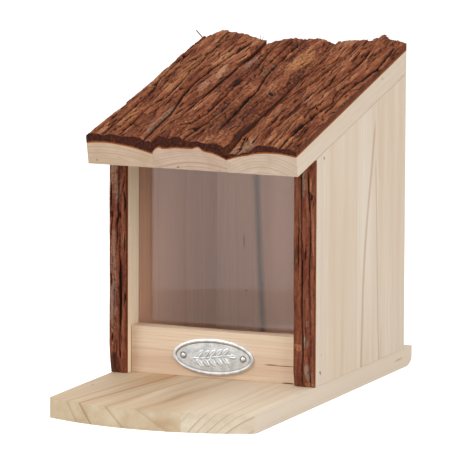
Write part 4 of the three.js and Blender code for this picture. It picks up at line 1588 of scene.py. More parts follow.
@dataclass
class Carcass:
    """The box: side panels, back, posts and front rail."""

    def build(self) -> list[Piece]:
        """Build the boards of the box.

        Returns:
            The pieces.
        """
        finishes = {**self.panels(), **self.posts(), "front_rail": self.rail()}
        slots = {"front_rail": Slot.RAIL_WOOD}
        return [
            EasedPiece(node, Body.BOX, slots.get(node, Slot.BOX_WOOD), finish.material()).build()
            for node, finish in finishes.items()
        ]

    @staticmethod
    def panels() -> dict[str, PineFinish]:
        """Give the side panels and the back their own wood.

        Returns:
            The finishes by node.
        """
        left = PineFinish(
            name="planed_pine_left_side",
            face=("#ecd9c1", "#d2b48f"),
            grain=GrainAxis.UP,
            pith=(-120.0, 40.0, 0.0),
            ring_width=3.4,
        )
        right = PineFinish(
            name="planed_pine_right_side",
            face=("#e1d2bf", "#c3a17c"),
            end=("#e0d2be", "#bfa27f"),
            grain=GrainAxis.UP,
            pith=(96.0, 74.0, 0.0),
            ring_width=2.4,
            ring_strength=0.45,
            wander=1.8,
            band_strength=0.42,
            overlays=(
                Mark((62.0, 55.0, 90.0), (8.0, 17.0, 95.0), "#e4d8c8", 0.6, 1.0),
                Mark((62.0, 14.0, 80.0), (8.0, 22.0, 110.0), "#cdb493", 0.35, 1.0),
                Streak(SIDE_LINE, 2.6, "#b18a66", 0.62),
                Streak(((5.0, 74.2), (28.7, 71.7), (75.4, 69.2), (130.0, 66.2)), 1.3, "#a8937b", 0.6),
                *BRAD_STAINS,
            ),
        )
        back = PineFinish(
            name="planed_pine_back",
            face=("#f0e4d4", "#d8c1a2"),
            grain=GrainAxis.UP,
            pith=(10.0, 190.0, 0.0),
            ring_width=3.6,
            overlays=(
                Mark((-12.0, 106.0, 70.0), (11.0, 3.0, 110.0), "#fff2e6", 0.9, 0.8),
                Streak(BACK_LINE, 3.3, "#50525c", 0.8, axis="X", deepest=107.0),
                Mark((-35.0, 106.0, 69.0), (0.5, 1.0, 6.0), "#6b4c36", 0.7),
                Mark((-33.3, 106.0, 40.0), (0.8, 1.0, 0.8), "#6b4c36", 0.7),
                Mark((-23.6, 106.0, 43.9), (0.9, 1.0, 1.1), "#5d4a3c", 0.7),
            ),
        )
        return {"left_side_panel": left, "right_side_panel": right, "back_panel": back}

    @staticmethod
    def posts() -> dict[str, PineFinish]:
        """Give the two posts their own wood.

        Returns:
            The finishes by node.
        """
        shared = {"grain": GrainAxis.UP, "ring_width": 3.0, "ring_strength": 0.3}
        left = PineFinish(
            "planed_pine_left_post", face=("#fcead0", "#e4c7a1"), pith=(-40.0, 30.0, 0.0), **shared
        )
        right = PineFinish(
            "planed_pine_right_post",
            face=("#dfd0be", "#c6af92"),
            pith=(30.0, 40.0, 0.0),
            overlays=BRAD_STAINS,
            **shared,
        )
        return {"left_post": left, "right_post": right}

    @staticmethod
    def rail() -> PineFinish:
        """Give the front rail a redder, finer-ringed wood than the box.

        Returns:
            The finish.
        """
        return PineFinish(
            name="planed_pine_rail",
            face=("#ead3b9", "#c49a7b"),
            end=("#ead8c2", "#c9a688"),
            grain=GrainAxis.ACROSS,
            pith=(0.0, 30.0, -10.0),
            ring_width=1.9,
            ring_strength=0.42,
            wander=1.2,
            band_strength=0.4,
            overlays=(
                Mark((33.4, -19.7, 21.2), (5.4, 0.8, 0.55), "#7a5032", 0.9, 0.7, (0.0, 0.02, 0.0)),
                Mark((42.0, -19.7, 21.1), (9.5, 0.8, 0.4), "#7a5032", 0.9, 0.7, (0.0, 0.02, 0.0)),
                # Painted shadow along the foot of the rail at the right.
                Mark((44.0, -19.7, 11.4), (5.5, 1.2, 0.7), "#3f281c", 0.9),
                # Painted shade: the rail's top made darker, since it takes more light from above.
                Mark((0.0, -14.0, 37.9), (60.0, 4.6, 0.5), "#a87850", 0.3, 1.0),
                # Painted shadow in the gap between the rail's top and the pane.
                Mark((0.0, -8.7, 38.2), (60.0, 4.2, 1.6), "#3f2415", 0.9, 0.6),
            ),
        )


@dataclass
class Window:
    """The window: one clear sheet in the side panels' rebates."""

    ease: float = 0.15
    least_edge: float = 1.0

    def build(self) -> list[Piece]:
        """Build the pane with its edges polished round.

        Returns:
            The piece, in a list.
        """
        material = AcrylicFinish().material()
        edges = {"ease": self.ease, "least_edge": self.least_edge}
        return [EasedPiece("window_pane", Body.BOX, Slot.WINDOW_PLASTIC, material, **edges).build()]


@dataclass
class PostBarks:
    """The bark left on the fronts of both posts."""

    grid: float = 0.25
    least: float = 0.3
    rim_levels: int = 4

    def build(self) -> list[Piece]:
        """Build both sheets.

        Returns:
            The pieces.
        """
        sizes = {"grid": self.grid, "least": self.least, "rim_levels": self.rim_levels}
        material = BarkFinish(
            name="dried_pine_bark_posts",
            cork="#371810",
            dark="#5a2a1c",
            middle="#7d4630",
            light="#925b41",
            palest="#a98468",
            fibre_size=(0.4, 7.0, 7.0),
            dash_strength=0.2,
        ).material()
        return [
            PostBark(node, Body.BOX, Slot.POST_BARK, material, relief, **sizes).build()
            for node, relief in self.reliefs().items()
        ]

    @staticmethod
    def reliefs() -> dict[str, BarkRelief]:
        """Give each post's bark its own cracks and patches.

        Returns:
            The reliefs by node.
        """
        left = BarkRelief(
            seed=501,
            scales=POST_SCALES,
            fibre_height=0.08,
            warmth=0.12,
            cracks=14,
            slivers=26,
            fissures=(
                Fissure(((-55.6, 24.0), (-55.4, 45.0), (-55.9, 70.0))),
                Fissure(((-57.5, 70.0), (-57.0, 100.0)), 0.6, 0.8),
            ),
            patches=(
                Patch(Paint.GREY, -58.5, 112.0, 3.5, 16.0, 0.7),
                Patch(Paint.GREY, -59.5, 50.0, 2.4, 34.0, 0.6, 0.3),
                Patch(Paint.SHADE, -55.3, 42.0, 1.3, 24.0, 0.8),
                Patch(Paint.SHADE, -60.4, 91.0, 1.3, 2.4, 0.9),
                Patch(Paint.OCHRE, -53.4, 78.0, 0.7, 4.0, 0.9, 0.3),
                Patch(Paint.SHADE, -59.5, 5.0, 3.0, 8.0, 0.6),
            ),
        )
        right = BarkRelief(
            seed=602,
            scales=POST_SCALES,
            fibre_height=0.06,
            warmth=0.16,
            cracks=4,
            slivers=20,
            fissures=(
                Fissure(((52.4, 60.0), (52.8, 85.0), (52.2, 104.0)), 0.6, 0.5),
                Fissure(((57.3, 20.0), (56.9, 46.0)), 0.5, 0.5),
            ),
            patches=(
                Patch(Paint.GREY, 55.2, 116.0, 2.3, 9.0, 0.8),
                Patch(Paint.OCHRE, 59.5, 115.0, 0.8, 5.5, 1.0, 0.4),
                Patch(Paint.SHADE, 60.1, 107.5, 1.1, 2.6, 1.0),
                Patch(Paint.SHADE, 51.5, 72.0, 1.8, 11.0, 0.5),
                Patch(Paint.OCHRE, 51.9, 71.5, 0.8, 1.4, 0.9),
                Patch(Paint.GREY, 57.6, 25.5, 1.6, 4.4, 0.8),
                Patch(Paint.GREY, 58.2, 36.0, 1.4, 2.4, 0.8),
                Patch(Paint.GREY, 58.2, 8.0, 2.0, 6.0, 0.8),
                Patch(Paint.OCHRE, 52.5, 22.5, 2.8, 2.2, 0.6, 0.3),
                Patch(Paint.OCHRE, 58.5, 1.2, 2.6, 1.4, 1.0),
            ),
        )
        return {"left_post_bark": left, "right_post_bark": right}


@dataclass
class Lid:
    """The lid: three slabs sawn from the outside of a log, with the bark on."""

    def build(self) -> list[Piece]:
        """Build the slabs and their bark.

        Returns:
            The pieces.
        """
        joint = frame["joints"][0]["pos_m"]
        low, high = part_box("roof_slab_middle")
        rear, rear_height = high.y / MM, joint[2] / MM
        front = rear - (rear_height - low.z / MM) / math.tan(LID_SLOPE)
        woods = {
            "left": ((-54.0, front, 42.0), ("#cdb59b", "#9d7a5c")),
            "middle": ((2.0, front, 70.0), ("#ccb39e", "#99745b")),
            "right": ((42.0, front, 108.0), ("#d2bda8", "#a08066")),
        }
        pieces = []
        bark = BarkFinish(name="dried_pine_bark_roof").material()
        for side, relief in self.reliefs().items():
            pith, end = woods[side]
            wood = PineFinish(
                name=f"sawn_pine_slab_{side}",
                face=("#dccbb7", "#cbb49a"),
                end=end,
                grain=GrainAxis.DOWN_SLOPE,
                pith=pith,
                ring_width=2.1,
                ring_strength=0.7,
                wander=1.0,
                roughness=0.7,
                overlays=self.marks(),
            )
            slab = EasedPiece(f"roof_slab_{side}", Body.LID, Slot.ROOF_WOOD, wood.material(), ease=0.2)
            pieces.append(slab.build())
            sheet = RoofBark(
                f"roof_bark_{side}",
                Body.LID,
                Slot.ROOF_BARK,
                bark,
                relief,
                slivers=self.splinters()[side],
                rear=rear,
                rear_height=rear_height,
                front=front,
            )
            pieces.append(sheet.build())
        return pieces

    @staticmethod
    def marks() -> tuple[Mark, ...]:
        """Place the knot in the right slab's side and the specks on the other slabs' ends.

        Returns:
            The marks.
        """
        return (
            Mark((62.0, 75.8, 173.2), (1.5, 3.2, 1.2), "#a2805f", 0.5, 0.9),
            Mark((-59.0, -52.4, 136.5), (0.7, 1.2, 0.7), "#6b4a34", 0.8),
            Mark((-44.8, -52.4, 138.6), (0.8, 1.2, 0.7), "#6b4a34", 0.8),
            Mark((-9.8, -52.4, 135.4), (1.0, 1.6, 0.6), "#5a3a28", 0.8),
        )

    @staticmethod
    def splinters() -> dict[str, tuple[Sliver, ...]]:
        """Place the splinters that stand clear of each slab.

        Returns:
            The splinters by the slab's side.
        """
        return {
            "left": (
                Sliver((-62.5, 168.2, 12.5), (-68.9, 169.6, 18.2), 0.9, 0.8, tip_share=0.9),
                Sliver((-27.9, 168.0, 13.0), (-28.3, 169.6, 17.8), 0.7, 0.6),
                Sliver((-27.4, 168.0, 13.0), (-26.0, 169.6, 17.6), 0.7, 0.6),
            ),
            "middle": (),
            "right": (Sliver((44.4, 149.0, 17.4), (48.6, 169.8, 21.2), 4.6, 1.6, tip_share=0.85),),
        }

    @staticmethod
    def reliefs() -> dict[str, BarkRelief]:
        """Give each slab's bark its own cracks and patches.

        Returns:
            The reliefs by the slab's side.
        """
        left = BarkRelief(
            seed=11,
            warmth=0.06,
            fissures=(
                Fissure(((-45.5, 17.0), (-46.2, 24.0), (-45.8, 40.0), (-44.0, 46.0), (-42.6, 54.0))),
                Fissure(((-42.6, 54.0), (-41.8, 61.0), (-42.7, 70.0), (-43.3, 76.0)), 0.8, 1.0),
                Fissure(((-54.5, 39.0), (-53.7, 64.5)), 1.1, 1.6),
                Fissure(((-58.6, 77.0), (-56.4, 97.0)), 0.8, 1.2),
                Fissure(((-33.0, 54.0), (-36.0, 74.0), (-37.2, 85.0), (-36.2, 101.0))),
                Fissure(((-36.2, 101.0), (-37.0, 113.0), (-35.7, 124.0), (-33.6, 133.0)), 0.8, 1.0),
                Fissure(((-32.8, 66.0), (-31.5, 80.0)), 0.8, 1.2),
                Fissure(((-62.9, 119.0), (-61.8, 136.0), (-60.4, 149.0), (-58.0, 157.0))),
            ),
            patches=(
                Patch(Paint.GREY, -32.0, 34.0, 1.8, 26.0, 0.8),
                Patch(Paint.PALE, -29.5, 87.0, 2.6, 8.8, 0.75, 0.4),
                Patch(Paint.PALE, -28.8, 102.0, 2.4, 9.0, 0.7, 0.4),
                Patch(Paint.PALE, -29.1, 115.0, 2.2, 7.0, 0.6, 0.3),
                Patch(Paint.OCHRE, -51.0, 30.0, 3.6, 20.0, 0.5),
                Patch(Paint.OCHRE, -48.0, 100.0, 4.0, 30.0, 0.4),
            ),
        )
        middle = BarkRelief(
            seed=18,
            warmth=-0.04,
            crumb_height=0.4,
            crumb_tone=0.35,
            cracks=40,
            fissures=(
                Fissure(((-7.6, 4.0), (-7.0, 14.0), (-4.6, 22.0), (-3.4, 31.0), (-2.2, 37.0))),
                Fissure(((-9.7, 37.0), (-7.5, 47.0), (-9.5, 59.0), (-10.4, 68.0), (-9.0, 74.0))),
                Fissure(((-9.0, 74.0), (-10.3, 87.0), (-10.1, 99.0), (-8.0, 104.0), (-9.8, 111.0))),
                Fissure(((5.6, 42.6), (4.6, 52.5), (4.8, 62.0), (3.9, 70.5), (4.1, 88.0)), 1.1, 1.7),
                Fissure(((-5.0, 124.0), (-1.4, 127.0)), 0.9, 1.4),
                Fissure(((-7.2, 147.0), (-3.6, 157.0)), 0.9, 1.4),
            ),
            patches=(
                Patch(Paint.GREY, -2.4, 43.0, 1.0, 7.0, 0.8, -0.5),
                Patch(Paint.GREY, -0.8, 125.0, 1.2, 26.0, 0.7, -0.6),
                Patch(Paint.GREY, -17.0, 127.0, 2.2, 13.0, 0.7),
                Patch(Paint.GREY, 13.7, 82.0, 3.4, 4.2, 0.5, -0.9),
                Patch(Paint.SHADE, 13.5, 82.5, 1.5, 1.9, 1.0, -0.6),
                Patch(Paint.OCHRE, 11.0, 134.0, 5.5, 24.0, 0.75, -0.3),
                Patch(Paint.SHADE, 19.9, 24.0, 1.6, 28.0, 0.8),
                Patch(Paint.SHADE, 5.0, 38.0, 14.0, 34.0, 0.28),
            ),
        )
        right = BarkRelief(
            seed=25,
            warmth=0.05,
            cracks=150,
            lip_share=0.7,
            fissures=(
                Fissure(((22.7, 61.5), (27.5, 96.0))),
                Fissure(((29.6, 94.0), (34.7, 137.0))),
                Fissure(((21.8, 120.0), (25.1, 167.0))),
                Fissure(((26.2, 42.5), (34.6, 61.0)), 1.0, 1.4),
                Fissure(((35.2, 16.0), (36.6, 27.5), (37.8, 42.0), (40.0, 54.0), (42.1, 68.0)), 1.0, 1.4),
                Fissure(((41.6, 81.0), (42.1, 92.0), (45.1, 98.5), (47.3, 108.0), (48.4, 127.0))),
                Fissure(((48.3, 140.0), (47.3, 152.0), (45.0, 162.0))),
                Fissure(
                    ((52.1, 7.0), (52.2, 16.0), (50.9, 28.0), (51.7, 36.5), (52.8, 47.0), (52.8, 56.0)),
                    depth=1.3,
                ),
                Fissure(((52.8, 56.0), (49.8, 60.7), (48.1, 53.0)), 0.8, 1.2),
                Fissure(((58.2, 49.0), (57.6, 85.0)), 0.9, 1.3),
                Fissure(((59.0, 117.0), (60.2, 125.0), (59.1, 148.0))),
            ),
            patches=(
                Patch(Paint.GREY, 28.0, 8.0, 7.0, 11.0, 0.6),
                Patch(Paint.OCHRE, 27.0, 12.0, 5.0, 9.0, 0.5),
                Patch(Paint.SHADE, 25.0, 9.0, 0.9, 2.6, 1.0, -0.9),
                Patch(Paint.SHADE, 31.0, 14.0, 0.8, 2.2, 1.0, -0.9),
                Patch(Paint.GREY, 30.6, 53.0, 0.8, 8.0, 0.8, 0.3),
                Patch(Paint.OCHRE, 54.5, 14.0, 2.4, 5.0, 0.5, 0.7),
                Patch(Paint.PALE, 39.0, 75.0, 1.6, 12.0, 0.8, 0.2),
                Patch(Paint.OCHRE, 44.0, 40.0, 4.0, 22.0, 0.35),
                Patch(Paint.SHADE, 40.2, 166.0, 2.8, 10.0, 0.3, -1.7),
                Patch(Paint.SHADE, 54.0, 166.0, 4.0, 10.0, 0.3, -1.7),
            ),
        )
        return {"left": left, "middle": middle, "right": right}


@dataclass(frozen=True)
class FastenerKind:
    """One kind of fastener, turned on a lathe in Geometry Nodes and set at every CAD node of its kind."""

    name: str
    nodes: tuple[str, ...]
    body: Body
    slot: Slot
    outline: Places
    recess: float = 0.0
    sides: int = 16
    cross_half_width: float = 0.1
    cross_reach: float = 0.75

    def build(self, material: Material) -> Piece:
        """Build every fastener of this kind as one piece.

        Args:
            material: The fasteners' finish.

        Returns:
            The piece, in its nodes' place.
        """
        heads, turns, lengths, radii = zip(*(self.place(node) for node in self.nodes))
        mesh = bpy.data.meshes.new(self.name)
        mesh.from_pydata(heads, [], [])
        turned = mesh.attributes.new("turn", "FLOAT_VECTOR", "POINT")
        turned.data.foreach_set("vector", [part for turn in turns for part in turn])
        piece = link_mesh(self.name, mesh, material)
        tree = self.tree()
        modifier = piece.modifiers.new("fasteners", "NODES")
        modifier.node_group = tree
        sizes = {
            "Length": max(lengths),
            "Head Radius": max(radii),
            "Recess": self.recess * MM,
            "Sides": self.sides,
            "Material": material,
        }
        for item in tree.interface.items_tree:
            if item.name in sizes:
                modifier[item.identifier] = sizes[item.name]
        return finish_piece(flatten(piece), self.body, self.nodes)

    @staticmethod
    def place(node: str) -> tuple[Vector, Euler, float, float]:
        """Measure a CAD fastener.

        Args:
            node: The fastener's node.

        Returns:
            The middle of its head's top, the turn that stands Z out of it, its length and head radius.
        """
        points = np.array([v.co for v in frame["nodes"][node].data.vertices], float)
        middle = points.mean(0)
        points -= middle
        ways = np.linalg.svd(points, full_matrices=False)[2]
        reach = [np.linalg.norm(points - np.outer(points @ way, way), axis=1) for way in ways]
        way, away = min(zip(ways, reach), key=lambda pair: pair[1].max())
        along = points @ way
        head = along[away > 0.97 * away.max()].mean()
        if head < np.mean([along.min(), along.max()]):
            way = -way
            along = points @ way
        turn = Vector(way).to_track_quat("Z", "Y").to_euler()
        return Vector(middle + way * along.max()), turn, float(np.ptp(along)), float(away.max())

    def tree(self) -> Tree:
        """Build the lathe: a cylinder whose rings follow the outline, with a cross pressed into its head.

        Returns:
            The tree.
        """
        tree = bpy.data.node_groups.new(f"{self.name}_lathe", "GeometryNodeTree")
        for name, way, kind in (
            ("Geometry", "INPUT", "NodeSocketGeometry"),
            ("Length", "INPUT", "NodeSocketFloat"),
            ("Head Radius", "INPUT", "NodeSocketFloat"),
            ("Recess", "INPUT", "NodeSocketFloat"),
            ("Sides", "INPUT", "NodeSocketInt"),
            ("Material", "INPUT", "NodeSocketMaterial"),
            ("Geometry", "OUTPUT", "NodeSocketGeometry"),
        ):
            tree.interface.new_socket(name, in_out=way, socket_type=kind)
        given = add_node(tree, "NodeGroupInput").outputs
        rings = len(self.outline) - 1
        bar = add_node(
            tree, "GeometryNodeMeshCylinder", (given["Sides"], rings, 3, 1.0, 2.0), fill_type="TRIANGLE_FAN"
        )
        position = add_node(tree, "GeometryNodeInputPosition")
        place = add_node(tree, "ShaderNodeSeparateXYZ", (position,)).outputs
        down = add_node(tree, MATH, (place["Z"], -0.5, 0.5), **TIMES_PLUS)
        depth, width = (self.stepped(tree, down, column) for column in zip(*self.outline))
        radius = add_node(tree, MATH, (width, given["Head Radius"]), **TIMES)
        x, y = (add_node(tree, MATH, (place[axis], radius), **TIMES) for axis in "XY")
        length = add_node(tree, MATH, (given["Length"], -1.0), **TIMES)
        low = add_node(tree, MATH, (depth, length), **TIMES)
        aside = [add_node(tree, MATH, (place[axis],), operation="ABSOLUTE") for axis in "XY"]
        near = add_node(tree, MATH, aside, operation="MINIMUM")
        far = add_node(tree, MATH, aside, operation="MAXIMUM")
        narrow = add_node(tree, MATH, (near, self.cross_half_width), operation="LESS_THAN")
        inner = add_node(tree, MATH, (far, self.cross_reach), operation="LESS_THAN")
        in_cross = add_node(tree, MATH, (narrow, inner), **TIMES)
        on_top = add_node(tree, MATH, (place["Z"], 0.99), operation="GREATER_THAN")
        in_recess = add_node(tree, MATH, (in_cross, on_top), **TIMES)
        pressed = add_node(tree, MATH, (in_recess, given["Recess"]), **TIMES)
        z = add_node(tree, MATH, (low, pressed), operation="SUBTRACT")
        spot = add_node(tree, "ShaderNodeCombineXYZ", (x, y, z))
        turned = add_node(tree, "GeometryNodeSetPosition", {"Geometry": bar, "Position": spot})
        turn = add_node(tree, "GeometryNodeInputNamedAttribute", {"Name": "turn"}, data_type="FLOAT_VECTOR")
        turn = add_node(tree, "FunctionNodeEulerToRotation", (turn.outputs["Attribute"],))
        points = add_node(tree, "GeometryNodeMeshToPoints", {"Mesh": given["Geometry"]})
        spots = {"Points": points, "Instance": turned, "Rotation": turn}
        set_out = add_node(tree, "GeometryNodeInstanceOnPoints", spots)
        real = add_node(tree, "GeometryNodeRealizeInstances", {"Geometry": set_out})
        finish = {"Geometry": real, "Material": given["Material"]}
        add_node(tree, "NodeGroupOutput", (add_node(tree, "GeometryNodeSetMaterial", finish),))
        return tree

    @staticmethod
    def stepped(tree: Tree, place: Feed, values: tuple[float, ...]) -> Feed:
        """Read an outline's value at each ring, straight between the rings.

        Args:
            tree: The lathe's tree.
            place: How far down the rings it is, from 0 to 1.
            values: The value at each ring.

        Returns:
            The value.
        """
        total: object = values[0]
        rings = len(values) - 1
        for ring, (low, high) in enumerate(zip(values, values[1:])):
            step = add_node(tree, RANGE, (place, ring / rings, (ring + 1) / rings, 0.0, high - low))
            total = add_node(tree, MATH, (total, step), operation="ADD")
        return total


COUNTERSUNK = ((0.0, 0.93), (0.02, 1.0), (0.09, 0.86), (0.3, 0.42), (0.42, 0.4), (0.9, 0.38), (1.0, 0.04))
FLAT_NAIL = ((0.0, 0.9), (0.008, 1.0), (0.035, 1.0), (0.045, 0.45), (0.93, 0.42), (1.0, 0.05))
BRAD = ((0.0, 0.85), (0.02, 1.0), (0.07, 0.98), (0.1, 0.66), (0.92, 0.62), (1.0, 0.08))
DOMED_PIN = ((0.0, 0.3), (0.04, 0.72), (0.11, 0.93), (0.2, 1.0), (0.27, 0.98), (0.29, 0.4), (1.0, 0.3))


@dataclass
class Plaque:
    """The oval plaque: a raised round rim, a cast field, and a sprig of leaves in low relief."""

    node: str = "plaque"
    middle: tuple[float, float] = (-1.5, 23.35)
    back: float = -19.7
    half_size: tuple[float, float] = (24.5, 10.35)
    thickness: float = 1.5
    rim: float = 2.1
    field: float = 0.95
    spokes: int = 300
    rings: int = 96
    leaves: int = 5
    leaf_step: float = 3.9
    leaf_turn: float = math.radians(48)
    stem: tuple[float, float] = (-10.5, 9.3)
    stem_wave: float = 7.5
    stem_height: float = 1.3
    pin_place: float = 18.2
    smooth_angle: float = math.radians(50)

    def build(self, material: Material) -> Piece:
        """Build the plaque in its node's place.

        Args:
            material: The plaque's finish.

        Returns:
            The piece.
        """
        angle = np.linspace(0, 2 * math.pi, self.spokes, endpoint=False)
        share = np.linspace(0, 1, self.rings + 1)[1:] ** 0.85
        around, out = np.meshgrid(angle, share)
        a, b = self.half_size
        x, z = out * a * np.cos(around), out * b * np.sin(around)
        edge = (1 - out) / np.sqrt((np.cos(around) / a) ** 2 + (np.sin(around) / b) ** 2)
        height, shade_share = self.heights(x, z, edge)
        middle_height, _ = self.heights(np.zeros((1, 1)), np.zeros((1, 1)), np.full((1, 1), b))
        front = np.stack([x.ravel(), height.ravel(), z.ravel()], -1)
        rim_back = np.stack([x[-1], np.zeros(self.spokes), z[-1]], -1)
        points = np.concatenate([front, [[0, middle_height[0, 0], 0]], rim_back])
        net = np.arange(front.shape[0]).reshape(x.shape)
        after = np.roll(net, -1, 1)
        quads = np.stack([net[:-1], net[1:], after[1:], after[:-1]], -1).reshape(-1, 4)
        rear = np.arange(self.spokes) + len(front) + 1
        wall = np.stack([net[-1], rear, np.roll(rear, -1), after[-1]], -1)
        fan = np.stack([np.full(self.spokes, len(front)), net[0], after[0]], -1)
        corners = np.concatenate([quads.ravel(), wall.ravel(), fan.ravel(), rear[::-1]])
        sizes = np.array([4] * (len(quads) + len(wall)) + [3] * self.spokes + [self.spokes])
        places = np.stack(
            [points[:, 0] + self.middle[0], self.back - points[:, 1], points[:, 2] + self.middle[1]], -1
        )
        mesh = mesh_of("plaque_cast", places * MM, corners, sizes)
        hollow_shade = np.concatenate([shade_share.ravel(), [0.0], np.zeros(self.spokes)])
        write_values(mesh, "POINT", {"hollow_shade": hollow_shade})
        mesh.polygons.foreach_set("use_smooth", np.ones(len(sizes), bool))
        mesh.set_sharp_from_angle(angle=self.smooth_angle)
        piece = link_mesh("plaque_cast", mesh, material)
        return finish_piece(piece, Body.BOX, [self.node])

    def heights(self, x: Array, z: Array, edge: Array) -> tuple[Array, Array]:
        """Work out the front's height above the back, and where shade is painted: just inside the rim,
        round the sprig and round the pins.

        Args:
            x: Places across, from the plaque's middle.
            z: Places up.
            edge: Distances from the outer edge.

        Returns:
            The heights in millimetres, and the painted shade's share.
        """
        inner = smoothstep(self.rim - 0.5, self.rim, edge)
        crown = self.thickness - 0.35 * (1 - smoothstep(0, 0.7, edge)) - 0.1 * smoothstep(0.9, 1.6, edge)
        cast = 0.03 * noise(x / 1.1, z / 1.1, 5, 3)
        sprig = self.sprig(x, z)
        height = crown * (1 - inner) + (self.field + cast + 0.42 * sprig) * inner
        # Painted shade just inside the rim, round the sprig's outline and round the pins.
        rim_shade = smoothstep(self.rim - 0.6, self.rim - 0.1, edge)
        rim_shade = rim_shade * (1 - smoothstep(self.rim, self.rim + 0.5, edge))
        outline = np.exp(-(((sprig - 0.25) / 0.14) ** 2)) * inner
        pins = 1 - smoothstep(1.7, 2.3, np.hypot(np.abs(x) - self.pin_place, z))
        return height, np.clip(0.7 * rim_shade + 0.8 * outline + 0.8 * pins, 0, 1)

    def sprig(self, x: Array, z: Array) -> Array:
        """Work out the sprig: a curved stem, with pairs of pointed leaves and a leaf at its tip.

        Args:
            x: Places across, from the plaque's middle.
            z: Places up.

        Returns:
            The relief from 0 to 1.
        """
        start, tip = self.stem
        above = z - self.stem_height * np.sin(x / self.stem_wave)
        relief = 1 - smoothstep(0.2, 0.6, np.hypot(above, np.maximum(np.abs(x + 1) + start, 0)))
        leaves = [(tip, -0.1, 5.0, 1.4)]
        for number in range(self.leaves):
            foot = start + self.leaf_step * number
            leaves += [(foot, side * self.leaf_turn, 6.4, 1.5) for side in (-1, 1)]
        for foot, turn, length, half_width in leaves:
            up = z - self.stem_height * math.sin(foot / self.stem_wave)
            relief = np.maximum(relief, self.leaf(x - foot, up, turn, length, half_width))
        return relief

    @staticmethod
    def leaf(x: Array, z: Array, turn: float, length: float, half_width: float) -> Array:
        """Work out one pointed leaf, with a groove down its midrib.

        Args:
            x: Places across, from its foot.
            z: Places up.
            turn: The way it points.
            length: Its length.
            half_width: Half its width.

        Returns:
            The relief from 0 to 1.
        """
        along = (x * math.cos(turn) + z * math.sin(turn)) / length
        aside = np.abs(-x * math.sin(turn) + z * math.cos(turn))
        width = half_width * np.sin(np.pi * np.clip(along, 0, 1)) ** 0.8
        blade = smoothstep(0.0, 0.45, width - aside) * ((along > 0) & (along < 1))
        return blade * (1 - 0.45 * (1 - smoothstep(0.05, 0.3, aside)))


@dataclass
class Fittings:
    """The metal: hinges, screws, nails, brads and the plaque."""

    def build(self) -> list[Piece]:
        """Build every metal piece.

        Returns:
            The pieces.
        """
        plated = MetalFinish("zinc_plated_steel", "#d9d4c4", "#a8a294", 0.34).material()
        zinc = MetalFinish("cast_zinc", "#e8edf0", "#c6cccf", 0.42, hollow_shade_colour="#6e5a48").material()
        pieces = [Plaque().build(zinc)]
        for side in ("left", "right"):
            for part, body in (("back_leaf", Body.BOX), ("pin", Body.BOX), ("lid_leaf", Body.LID)):
                node = f"{side}_hinge_{part}"
                leaf = EasedPiece(node, body, Slot.HINGE_METAL, plated, ease=0.12)
                pieces.append(leaf.build())
        pieces += [kind.build(zinc if kind.slot is Slot.PLAQUE_METAL else plated) for kind in self.kinds()]
        return pieces

    @staticmethod
    def kinds() -> tuple[FastenerKind, ...]:
        """List the kinds of fastener, each with its nodes.

        Returns:
            The kinds.
        """
        nails = tuple(f"base_nail_{number}" for number in range(1, 7))
        back = tuple(f"back_hinge_screw_{number}" for number in range(1, 5))
        lid = tuple(f"lid_hinge_screw_{number}" for number in range(1, 5))
        rail = ("left_post_rail_brad", "right_post_rail_brad")
        top = ("left_post_top_brad", "right_post_top_brad")
        pins = ("plaque_pin_left", "plaque_pin_right")
        steel = Slot.FIXING_STEEL
        return (
            FastenerKind("base_nails", nails, Body.BOX, steel, FLAT_NAIL),
            FastenerKind("back_hinge_screws", back, Body.BOX, steel, COUNTERSUNK, recess=0.7),
            FastenerKind("lid_hinge_screws", lid, Body.LID, steel, COUNTERSUNK, recess=0.7),
            FastenerKind("post_rail_brads", rail, Body.BOX, steel, BRAD),
            FastenerKind("post_top_brads", top, Body.BOX, steel, BRAD),
            FastenerKind("plaque_pins", pins, Body.BOX, Slot.PLAQUE_METAL, DOMED_PIN, sides=20),
        )


# Studio


@dataclass(frozen=True)
class Softbox:
    """A square area lamp: its place and side in metres, and its power in watts."""

    name: str
    place: Point
    side: float
    power: float


